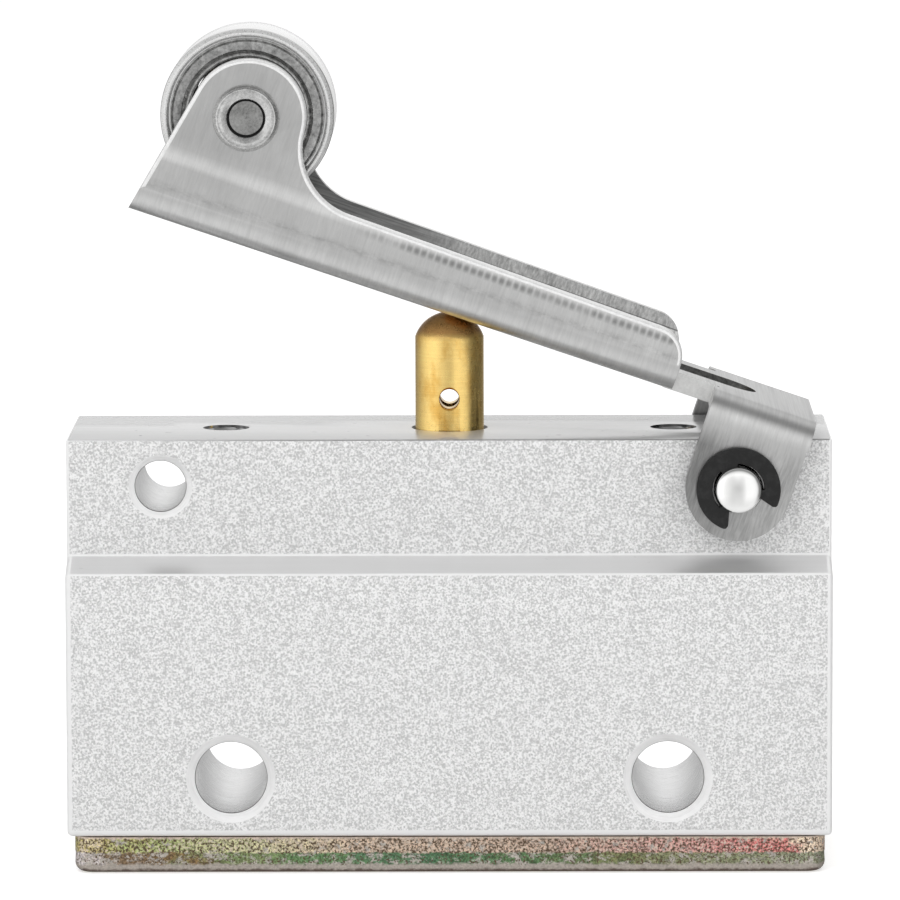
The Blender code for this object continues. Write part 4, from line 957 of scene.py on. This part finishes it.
def makePlate(s):
    # the outline shrinks as it nears the underside, p = centre + (corner - inset(z)) n, which
    # rounds the pressed edge, and steps in slightly below the line where the sheet tore
    x, y = s["length"] / 2 - s["corner"], s["depth"] / 2 - s["corner"]
    corners, directions = [], []
    for cornerX, cornerY, start in ((x, y, 0), (-x, y, 90), (-x, -y, 180), (x, -y, 270)):
        t = np.radians(np.linspace(start, start + 90, 13))
        directions.append(np.column_stack([np.cos(t), np.sin(t)]))
        corners.append(np.tile([cornerX, cornerY], (13, 1)))
    corners, directions = np.vstack(corners), np.vstack(directions)
    bend = np.radians(np.linspace(0, 90, 9))
    levels = [(s["rollover"] * (1 - np.sin(t)), s["rollover"] * (1 - np.cos(t))) for t in bend]
    levels += [(0.03, s["step"] - 0.12), (0.0, s["step"]),
               (0.0, s["thickness"] - 0.05), (0.05, s["thickness"])]
    inset = np.array([level[0] for level in levels])
    z = np.array([level[1] for level in levels])
    ring = corners[None] + directions[None] * (s["corner"] - inset)[:, None, None]
    points = np.concatenate([ring, np.broadcast_to(z[:, None, None], ring.shape[:2] + (1,))], axis=-1)
    n = len(corners)
    caps = [list(range(n)), list(range((len(z) - 1) * n, len(z) * n))]
    faces = gridFaces(len(z), n, False, True).tolist() + caps
    plate = addPiece("basePlate", points, faces)
    for screwX, screwY in screwPlaces:
        shank, head = s["screwHole"], s["screwHead"]
        hole = [[0, -1], [head + 1, -1], [shank, head - shank], [shank, 4], [0, 4]]
        combine(plate, turned("cut", softened(hole, [0, 0, 0.08, 0, 0]), 64, "Z", (screwX, screwY, 0)))
    weld(plate)
    return finishPiece(plate, "housing", ["base_plate"], zincSurface, sharpDeg=30)


screwSizes = {"shank": 1.43, "ridge": 0.26, "pitch": 0.5, "threadLow": 1.5, "threadHigh": 7.3,
              "socket": 1.0, "socketRoof": 0.9, "head": 2.68, "headLow": 0.05, "headEdge": 0.12,
              "neck": 1.35, "tip": 7.98}


def makeScrew(s, name, cadName, place):
    # a countersunk screw with a hexagon socket, seen from below, and a thread on its shank:
    # r = shank - ridge |t - 1/2|, where t is z / pitch - a / 2 pi, wrapped to 0 to 1
    a = np.linspace(0, 2 * np.pi, 72, endpoint=False)[None, :]
    z = np.linspace(s["threadLow"], s["threadHigh"], 106)[:, None]
    t = (z / s["pitch"] - a / (2 * np.pi)) % 1.0
    shankR = s["shank"] - s["ridge"] * np.abs(t - 0.5) * np.clip((z - s["threadLow"]) / 0.4, 0, 1)
    head = softened([[0, s["socketRoof"]], [s["socket"], s["socketRoof"]], [s["socket"], s["headLow"]],
                     [s["head"], s["headLow"]], [s["head"], s["headEdge"]], [s["shank"], s["neck"]]],
                    0.04, 2)
    hexagon = np.cos(np.pi / 6) / np.cos((a + np.pi / 6) % (np.pi / 3) - np.pi / 6)
    headR = head[:, 0][:, None] * np.where(head[:, 0][:, None] < 1.2, hexagon * 1.1, 1.0)
    tip = np.array([[1.2, 7.7], [0.8, s["tip"]], [0, s["tip"]]])
    r = np.vstack([headR, shankR, tip[:, 0][:, None] + 0 * a])
    h = np.vstack([head[:, 1][:, None] + 0 * a, z + 0 * a, tip[:, 1][:, None] + 0 * a])
    points = np.stack([r * np.cos(a), r * np.sin(a), h], axis=-1) + np.array([place[0], place[1], 0])
    piece = addPiece(name, points, gridFaces(len(r), 72, False, True).tolist())
    return finishPiece(piece, "housing", [cadName], zincSurface, sharpDeg=35)


makePlate(plateSizes)
screwSpots = ("front_left", "rear_left", "front_right", "rear_right")
for place, spot in zip(screwPlaces, screwSpots):
    makeScrew(screwSizes, "baseScrew" + spot.title().replace("_", ""), "base_screw_" + spot, place)
print("plate and screws made")


# Brass of the plunger, seat and poppet

brassSizes = {"dark": (0.84, 0.50, 0.12), "pale": (0.97, 0.69, 0.24), "tarnishAndShade": (0.50, 0.28, 0.10),
              "roughness": 0.22}


def turnedBrass(name, s, tarnishShadeFrom=None):
    # fine rings and slow stains; the plunger's dome is brown above a given height, tarnish that is also
    # painted shade under the lever
    surface, shader = newSurface(name, s["pale"], 1.0, s["roughness"])
    tree = surface.node_tree
    rings = noise(tree, objectPlace(tree, scale=(120, 120, 14000)), 1.0, 3.0, 0.6)
    stains = noise(tree, objectPlace(tree, scale=(1, 1, 0.6)), 700.0, 4.0, 0.6)
    pits = noise(tree, objectPlace(tree), 4200.0, 2.0, 0.6)
    shade = times(tree, spread(tree, rings, 0.3, 0.7, 0.94, 1.06),
                  spread(tree, stains, 0.3, 0.7, 0.90, 1.06))
    color = blendColor(tree, spread(tree, stains, 0.3, 0.5), s["dark"], s["pale"])
    if tarnishShadeFrom:
        coordinates = tree.nodes.new("ShaderNodeTexCoord")
        height = node(tree, "SeparateXYZ", {0: coordinates.outputs["Object"]}).outputs["Z"]
        height = math2(tree, "ADD", height, spread(tree, stains, 0.3, 0.7, -0.0001, 0.0001))
        # the brown dome: tarnish, partly painted shade under the lever
        onDome = spread(tree, height, tarnishShadeFrom - 0.0001, tarnishShadeFrom + 0.0004)
        color = blendColor(tree, onDome, color, s["tarnishAndShade"])
    scaledColor(tree, shader, color, shade)
    uneven = spread(tree, pits, 0.3, 0.7, s["roughness"] - 0.05, s["roughness"] + 0.08)
    tree.links.new(uneven, shader.inputs["Roughness"])
    height = math2(tree, "ADD", times(tree, rings, 0.5), times(tree, pits, 0.5))
    bumped(tree, shader, height, 0.22, 0.00003)
    return surface


brassSurface = turnedBrass("turnedBrass", brassSizes)

plungerSizes = {"radius": 2.175, "domeRadius": 2.3, "gap": 0.05, "flangeLow": 20.75, "flange": 1.0,
                "flangeRadius": 3.2, "stem": 1.5, "ventBore": 0.9, "vent": 0.625, "ventDrop": 3.8,
                "ventChamfer": 0.13}


def makePlunger(s):
    # the dome just clears the lever's underside on the block's centre line
    reach = leverSizes["webAbovePin"] - s["domeRadius"] - s["gap"]
    domeCentre = pinCentre[2] + reach / math.cos(leverAngle) + pinCentre[0] * math.tan(leverAngle)
    tip = 1000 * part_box("plunger")[0][2]
    edge = math.acos(s["radius"] / s["domeRadius"])
    shoulder = domeCentre + s["domeRadius"] * math.sin(edge)
    ventZ = shoulder - s["ventDrop"]
    roof = ventZ + s["ventBore"]
    dome = arcPoints((0, domeCentre), s["domeRadius"], 90, math.degrees(edge), 16)
    body = softened([[s["radius"], shoulder], [s["radius"], s["flangeLow"] + s["flange"]],
                     [s["flangeRadius"], s["flangeLow"] + s["flange"]], [s["flangeRadius"], s["flangeLow"]],
                     [s["stem"], s["flangeLow"]], [s["stem"], tip], [s["ventBore"], tip],
                     [s["ventBore"], roof], [0, roof + 0.45]], 0.08)
    plunger = turned("plungerPin", np.vstack([dome, body[1:]]), 96)
    radius = s["radius"]
    combine(plunger, throughCutter(s["vent"], radius, s["ventChamfer"], (0, 0, ventZ), 48))
    weld(plunger)
    # the dome's brown is tarnish and partly painted shade under the lever
    plungerSurface = turnedBrass("plungerBrass", brassSizes, 0.001 * shoulder)
    return finishPiece(plunger, "plunger", ["plunger"], plungerSurface, sharpDeg=35)


makePlunger(plungerSizes)
print("plunger made")


# Bright and polished steel

def polishedSteel(name, color, roughness):
    surface, shader = newSurface(name, color, 1.0, roughness)
    tree = surface.node_tree
    haze = noise(tree, objectPlace(tree), 700.0, 3.0, 0.6)
    scaledColor(tree, shader, color, spread(tree, haze, 0.3, 0.7, 0.96, 1.02))
    uneven = spread(tree, haze, 0.3, 0.7, roughness - 0.04, roughness + 0.05)
    tree.links.new(uneven, shader.inputs["Roughness"])
    return surface


def shieldSteel():
    # the shields are rolled sheet: darker, with short scratches round the axle
    surface, shader = newSurface("shieldSteel", (0.42, 0.42, 0.415), 1.0, 0.3)
    tree = surface.node_tree
    scratch = noise(tree, objectPlace(tree, scale=(1, 0.4, 1)), 3300.0, 4.0, 0.75)
    scaledColor(tree, shader, (0.42, 0.42, 0.415), spread(tree, scratch, 0.3, 0.7, 0.45, 1.5))
    tree.links.new(spread(tree, scratch, 0.3, 0.7, 0.4, 0.22), shader.inputs["Roughness"])
    bumped(tree, shader, scratch, 0.3, 0.00003)
    return surface


def blackOxide():
    surface, shader = newSurface("blackOxide", (0.018, 0.018, 0.018), 0.4, 0.5)
    tree = surface.node_tree
    rub = noise(tree, objectPlace(tree), 2600.0, 4.0, 0.7)
    color = blendColor(tree, spread(tree, rub, 0.45, 0.75), (0.014, 0.014, 0.014), (0.035, 0.035, 0.035))
    tree.links.new(color, shader.inputs["Base Color"])
    tree.links.new(spread(tree, rub, 0.3, 0.7, 0.42, 0.6), shader.inputs["Roughness"])
    bumped(tree, shader, rub, 0.15, 0.00002)
    return surface


def blackRubber():
    surface, shader = newSurface("blackRubber", (0.02, 0.02, 0.02), 0.0, 0.6)
    tree = surface.node_tree
    skin = noise(tree, objectPlace(tree), 3000.0, 3.0, 0.6)
    color = blendColor(tree, skin, (0.012, 0.012, 0.012), (0.03, 0.03, 0.03))
    tree.links.new(color, shader.inputs["Base Color"])
    tree.links.new(spread(tree, skin, 0.3, 0.7, 0.5, 0.7), shader.inputs["Roughness"])
    bumped(tree, shader, skin, 0.1, 0.00002)
    return surface


brightSurface = wornSteel("brightSteel", (0.58, 0.58, 0.575), 1.0, 0.2, 0.3)
# the rivet's recess floor, darker as partly painted shade
drilledShadedSurface = wornSteel("drilledShadedSteel", (0.29, 0.29, 0.285), 1.0, 0.3, 0.35)
# the groove round the recess floor, painted in shadow
grooveShadowSurface = wornSteel("grooveShadowSteel", (0.05, 0.05, 0.05), 0.6, 0.5, 0.3)
treadSurface = polishedSteel("treadSteel", (0.86, 0.86, 0.855), 0.12)
polishedSurface = polishedSteel("polishedSteel", (0.96, 0.96, 0.95), 0.10)
ringSurface = wornSteel("groundSteel", (0.80, 0.80, 0.795), 0.6, 0.3, 0.06)
shieldSurface = shieldSteel()
oxideSurface = blackOxide()
rubberSurface = blackRubber()


# Roller, its bearing and its rivet

rollerSizes = {"half": 3.6, "tread": 5.465, "chamfer": 0.27, "land": 4.93, "innerLand": 3.55, "bore": 1.6,
               "shieldRecess": 0.15, "shieldThick": 0.25, "shieldAir": 0.07, "shieldEdge": 0.07,
               "raceLand": 4.75, "pitch": 4.15, "groove": 0.84,
               "washer": 3.2, "washerIn": 3.65, "washerOut": 4.25}


def ringRace(s, land, way):
    # the ball's groove across a land, outside the balls for way 1 and inside for way -1
    half = math.degrees(math.acos(abs(land - s["pitch"]) / s["groove"]))
    curve = arcPoints((0, 0), s["groove"], -half, half, 12)
    return np.column_stack([s["pitch"] + way * curve[:, 0], way * curve[:, 1]])


def mirrored(half):
    # a profile's upper half and the same below, from +h to -h
    half = np.array(half, float)
    return np.vstack([half, (half * np.array([1, -1]))[::-1]])


def makeRoller(s):
    centre = rollerCentre
    back = s["half"] - s["shieldRecess"] - s["shieldThick"] - 0.05
    outside = softened([[s["raceLand"], back], [s["land"], back], [s["land"], s["half"] - 0.16],
                        [s["land"] + 0.13, s["half"]], [s["tread"] - s["chamfer"], s["half"]],
                        [s["tread"], s["half"] - s["chamfer"]], [s["tread"], 0]],
                       [0, 0, 0.04, 0.04, 0.07, 0.1, 0], 4)[:-1]
    profile = np.vstack([mirrored(outside), ringRace(s, s["raceLand"], 1)])
    ring = turned("rollerRing", profile, 160, "Y", closed=True)
    centres = faceData(ring.data)[0]
    for surface in (treadSurface, ringSurface):
        ring.data.materials.append(surface)
    onSide = np.abs(centres[:, 1]) > s["half"] - s["chamfer"] + 0.03
    ring.data.polygons.foreach_set("material_index", onSide.astype(int))
    finishPiece(ring, "roller", ["bearing_outer_ring"], None, sharpDeg=30,
                place=Matrix.Translation(centre))

    inner = softened([[s["bore"], 0], [s["bore"], s["half"]],
                      [s["innerLand"], s["half"]], [s["innerLand"], 0]], [0, 0.12, 0.12, 0], 4)
    upper = inner[1:-1]
    profile = np.vstack([upper, ringRace(s, s["innerLand"], -1), (upper * np.array([1, -1]))[::-1]])
    inner = turned("innerRing", profile, 128, "Y", centre, closed=True)
    finishPiece(inner, "lever", ["bearing_inner_ring"], shieldSurface, sharpDeg=30)

    front = s["half"] - s["shieldRecess"]
    inside, outsideR = s["innerLand"] + s["shieldAir"], s["land"] - s["shieldEdge"]
    # from the axle outwards: a rolled bead, a groove, the flat, a crimped groove and the rim
    under = front - s["shieldThick"]
    section = [[inside, front - 0.16], [inside + 0.08, front - 0.08], [inside + 0.22, front - 0.08],
               [inside + 0.30, front - 0.17], [inside + 0.38, front - 0.12], [inside + 0.50, front],
               [outsideR - 0.22, front], [outsideR - 0.16, front - 0.10], [outsideR - 0.10, front - 0.02],
               [outsideR, front - 0.02], [outsideR, under], [inside, under]]
    for name, cadName, way in (("shieldFront", "shield_front", -1), ("shieldRear", "shield_rear", 1)):
        profile = softened(section, 0.03, 2, closed=True) * np.array([1, way])
        shield = turned(name, profile, 128, "Y", centre, closed=True)
        finishPiece(shield, "roller", [cadName], shieldSurface, sharpDeg=30)
    for name, cadName, way in (("washerFront", "roller_washer_front", -1),
                               ("washerRear", "roller_washer_rear", 1)):
        washer = [[s["bore"], s["washerIn"]], [s["washer"], s["washerIn"]],
                  [s["washer"], s["washerOut"]], [s["bore"], s["washerOut"]]]
        profile = softened(washer, 0.06, 2, closed=True)
        washer = turned(name, profile * np.array([1, way]), 96, "Y", centre, closed=True)
        finishPiece(washer, "lever", [cadName], shieldSurface, sharpDeg=30)


rivetSizes = {"shank": 1.55, "head": 2.1, "drill": 1.2, "floor": 1.08, "cheek": 5.55, "height": 0.55,
              "crest": 1.74, "lipDrop": 0.3, "depth": 0.62, "dimple": 0.4, "ring": 0.25}


def makeRivet(s):
    # a rolled rim that rises from the cheek to its crest and slopes in to the drilled recess,
    # whose dimpled floor has a groove round it
    end = s["cheek"] + s["height"]
    floor = end - s["depth"]
    half = softened([[0, floor - s["dimple"]], [0.5, floor - 0.2], [s["floor"], floor],
                     [s["floor"], floor - s["ring"]], [s["drill"], floor - s["ring"]],
                     [s["drill"], end - s["lipDrop"]], [s["crest"] - 0.14, end - 0.03],
                     [s["crest"] + 0.1, end],
                     [s["head"] - 0.06, end - 0.3], [s["head"], s["cheek"] + 0.1], [s["head"], s["cheek"]],
                     [s["shank"], s["cheek"]]], [0, 0.2, 0.04, 0, 0, 0.05, 0.12, 0.1, 0.1, 0.03, 0.03, 0], 4)
    rivet = turned("rollerRivet", mirrored(half), 128, "Y")
    centres = faceData(rivet.data)[0]
    radius = np.hypot(centres[:, 0], centres[:, 2])
    sunk = np.abs(centres[:, 1]) < end - s["lipDrop"]
    # the recess floor is darker, partly painted shade, and the groove round it is painted shadow
    kind = np.where((radius < s["drill"] + 0.01) & sunk, np.where(radius < s["floor"] - 0.02, 1, 2), 0)
    for surface in (brightSurface, drilledShadedSurface, grooveShadowSurface):
        rivet.data.materials.append(surface)
    rivet.data.polygons.foreach_set("material_index", kind.astype(int))
    return finishPiece(rivet, "lever", ["roller_axle"], None, sharpDeg=40,
                       place=Matrix.Translation(rollerCentre))


makeRoller(rollerSizes)
makeRivet(rivetSizes)
print("roller made")


# Pin and its clips

pinSizes = {"radius": 1.45, "groove": 1.15, "grooveLow": 8.15, "grooveHigh": 8.70, "end": 8.80, "dome": 0.6,
            "clip": 0.45, "clipRadius": 2.63, "clipInner": 1.62, "grip": 1.2,
            "prongDeg": 16, "middleDeg": 113,
            # where the two ends stand at the pin and at the rim
            "startDeg": (-21, -27), "endDeg": (245, 254), "noseDeg": 5}


def makePin(s):
    dome = arcPoints((0, 0), 1, 0, 90, 14) * np.array([s["radius"], s["dome"]]) + np.array([0, s["end"]])
    groove = [[s["radius"], s["grooveLow"]], [s["groove"], s["grooveLow"]],
              [s["groove"], s["grooveHigh"]], [s["radius"], s["grooveHigh"]]]
    half = np.vstack([groove, dome])
    profile = np.vstack([half[::-1], half * np.array([1, -1])])
    pin = turned("pivotPin", profile, 96, "Y", pinCentre)
    return finishPiece(pin, "housing", ["pivot_pin"], polishedSurface, sharpDeg=40)


def clipOutline(s):
    # an E shape: a middle prong, two end prongs and an open mouth
    (start, startRim), (end, endRim), middle = s["startDeg"], s["endDeg"], s["middleDeg"]
    prong, grip, inner, outer = s["prongDeg"], s["grip"], s["clipInner"], s["clipRadius"]
    zero = (0, 0)

    def spot(radius, degrees):
        return arcPoints(zero, radius, degrees, degrees, 0)

    return np.vstack([
        arcPoints(zero, outer, startRim + s["noseDeg"], endRim - s["noseDeg"], 72),
        spot(outer - 0.05, endRim - 2), spot(outer - 0.25, endRim), spot(grip + 0.15, end),
        arcPoints(zero, grip, end - 4, end - prong, 5),
        arcPoints(zero, inner, end - prong - 6, middle + prong + 6, 16),
        arcPoints(zero, grip, middle + prong, middle - prong, 9),
        arcPoints(zero, inner, middle - prong - 6, start + prong + 6, 16),
        arcPoints(zero, grip, start + prong, start + 4, 5), spot(grip + 0.15, start),
        spot(outer - 0.25, startRim), spot(outer - 0.05, startRim + 2),
    ])


def makeClips(s):
    low = s["grooveLow"] + 0.05
    for name, cadName, way in (("clipFront", "e_clip_front", -1), ("clipRear", "e_clip_rear", 1)):
        clip = prism(name, clipOutline(s), way * low, way * (low + s["clip"]), "Y")
        finishPiece(clip, "housing", [cadName], oxideSurface, 0.05, 2,
                    Matrix.Translation(pinCentre))


makePin(pinSizes)
makeClips(pinSizes)
print("pin and clips made")


# Surfaces of the CAD pieces that stay

stayingSurfaces = {
    "cover_o_ring": rubberSurface, "seat_o_ring": rubberSurface, "plunger_seal": rubberSurface,
    "poppet_seal": rubberSurface, "seat_insert": brassSurface, "poppet_body": brassSurface,
    "plunger_spring": brightSurface, "poppet_spring": brightSurface, "ball_cage": brassSurface,
}
stayingSurfaces.update({"ball_%d" % (index + 1): polishedSurface for index in range(8)})
for name, surface in stayingSurfaces.items():
    mesh = frame["nodes"][name].data
    mesh.materials.clear()
    mesh.materials.append(surface)


# Camera, lights and floor

viewSizes = {"camera": (0.0044233, -0.469, 0.0834292), "target": (0.000099, -0.009, 0.026842),
             "lens": 297.455, "roll": -0.003}


def makeCamera(s):
    data = bpy.data.cameras.new("photoCamera")
    data.lens = s["lens"]
    data.sensor_width = 36
    data.clip_start = 0.01
    camera = bpy.data.objects.new("photoCamera", data)
    camera.location = s["camera"]
    direction = Vector(s["target"]) - Vector(s["camera"])
    turn = direction.to_track_quat("-Z", "Y") @ Quaternion((0, 0, 1), s["roll"])
    camera.rotation_euler = turn.to_euler()
    bpy.context.scene.collection.objects.link(camera)
    bpy.context.scene.camera = camera


lampSizes = {
    # place, size in metres, and watts
    "keyBox": ((-0.35, -0.45, 0.55), (0.5, 0.5), 1.7),
    "fillBox": ((0.5, -0.35, 0.3), (0.4, 0.5), 0.8),
    "topBox": ((0.0, 0.15, 0.7), (0.6, 0.5), 1.0),
}


def addLamp(name, place, size, watts):
    # the lamps light the surfaces, and the world alone is what metal mirrors
    data = bpy.data.lights.new(name, "AREA")
    data.shape = "RECTANGLE"
    data.size, data.size_y = size
    data.energy = watts
    lamp = bpy.data.objects.new(name, data)
    lamp.location = place
    lamp.rotation_euler = (Vector((0, 0, 0.02)) - Vector(place)).to_track_quat("-Z", "Y").to_euler()
    lamp.visible_glossy = False
    bpy.context.scene.collection.objects.link(lamp)


roomSizes = {
    "diffuse": 0.55,
    # brightness round the X axis in degrees: 0 is towards the camera, 90 up and 180 behind
    "over": [(-180, 0.95), (-168, 0.5), (-150, 0.2), (-118, 0.25), (-100, 0.85), (-60, 0.9),
             (-20, 0.72), (0, 0.62), (20, 0.85), (40, 1.1), (56, 0.75), (72, 0.27), (94, 0.3),
             (112, 0.7), (150, 0.9), (180, 1.0)],
    # and round the Z axis near the horizon: 0 is towards the camera, 90 to the right
    "round": [(-180, 0.7), (-150, 0.28), (-118, 0.5), (-90, 0.9), (-68, 1.12), (-46, 1.12),
              (-28, 0.9), (-12, 0.74), (6, 0.74), (20, 1.04), (40, 1.04), (58, 0.9), (76, 0.25),
              (130, 0.15), (158, 0.3), (180, 0.7)],
}


def angleSteps(tree, high, side, steps):
    # brightness by the angle atan2(high, side), from -180 to 180 degrees
    angle = math2(tree, "ARCTAN2", high, side)
    share = spread(tree, angle, -math.pi, math.pi)
    return colorSteps(tree, share, [((degrees + 180) / 360, (value,) * 3) for degrees, value in steps])


def makeWorld(s):
    # white where the camera looks, an even room for the light, and a studio's boxes and dark
    # gaps for what metal mirrors
    world = bpy.data.worlds.new("studio")
    bpy.context.scene.world = world
    world.use_nodes = True
    tree = world.node_tree
    tree.nodes.clear()
    path = tree.nodes.new("ShaderNodeLightPath")
    direction = tree.nodes.new("ShaderNodeTexCoord").outputs["Generated"]
    parts = node(tree, "SeparateXYZ", {0: direction})
    toCamera = times(tree, parts.outputs["Y"], -1.0)
    over = angleSteps(tree, parts.outputs["Z"], toCamera, s["over"])
    around = angleSteps(tree, parts.outputs["X"], toCamera, s["round"])
    low = spread(tree, math2(tree, "ABSOLUTE", parts.outputs["Z"]), 0.75, 0.35)
    aside = spread(tree, math2(tree, "ABSOLUTE", parts.outputs["X"]), 0.05, 0.3)
    room = blendColor(tree, times(tree, low, aside), over, around)
    light = blendColor(tree, path.outputs["Is Glossy Ray"], (s["diffuse"],) * 3, room)
    seen = math2(tree, "MAXIMUM", path.outputs["Is Camera Ray"], path.outputs["Is Transmission Ray"])
    color = blendColor(tree, seen, light, (1, 1, 1))
    background = node(tree, "Background", {"Color": color, "Strength": 1.0})
    out = tree.nodes.new("ShaderNodeOutputWorld")
    tree.links.new(background.outputs[0], out.inputs["Surface"])


floorSizes = {"half": 2.0, "drop": 0.00002, "color": (0.86, 0.86, 0.86), "glow": 0.5}


def makeFloor(s):
    # the camera sees a glow added to the lit floor, so it is white and keeps a soft shadow;
    # metal sees past it to the room
    half = s["half"]
    mesh = bpy.data.meshes.new("floor")
    mesh.from_pydata([(-half, -half, -s["drop"]), (half, -half, -s["drop"]), (half, half, -s["drop"]),
                      (-half, half, -s["drop"])], [], [(0, 1, 2, 3)])
    floor = bpy.data.objects.new("floor", mesh)
    bpy.context.scene.collection.objects.link(floor)
    surface = bpy.data.materials.new("paleFloor")
    surface.use_nodes = True
    tree = surface.node_tree
    shader = tree.nodes["Principled BSDF"]
    shader.inputs["Base Color"].default_value = (*s["color"], 1)
    shader.inputs["Roughness"].default_value = 0.8
    shader.inputs["Emission Color"].default_value = (1, 1, 1, 1)
    path = tree.nodes.new("ShaderNodeLightPath")
    glow = times(tree, path.outputs["Is Camera Ray"], s["glow"])
    tree.links.new(glow, shader.inputs["Emission Strength"])
    clear = tree.nodes.new("ShaderNodeBsdfTransparent")
    mix = node(tree, "MixShader", {0: path.outputs["Is Glossy Ray"], 1: shader.outputs[0],
                                   2: clear.outputs[0]})
    tree.links.new(mix.outputs[0], tree.nodes["Material Output"].inputs["Surface"])
    mesh.materials.append(surface)


makeCamera(viewSizes)
for name, (place, size, watts) in lampSizes.items():
    addLamp(name, place, size, watts)
makeWorld(roomSizes)
makeFloor(floorSizes)

view = bpy.context.scene.view_settings
view.view_transform = "Standard"

print("finishing")
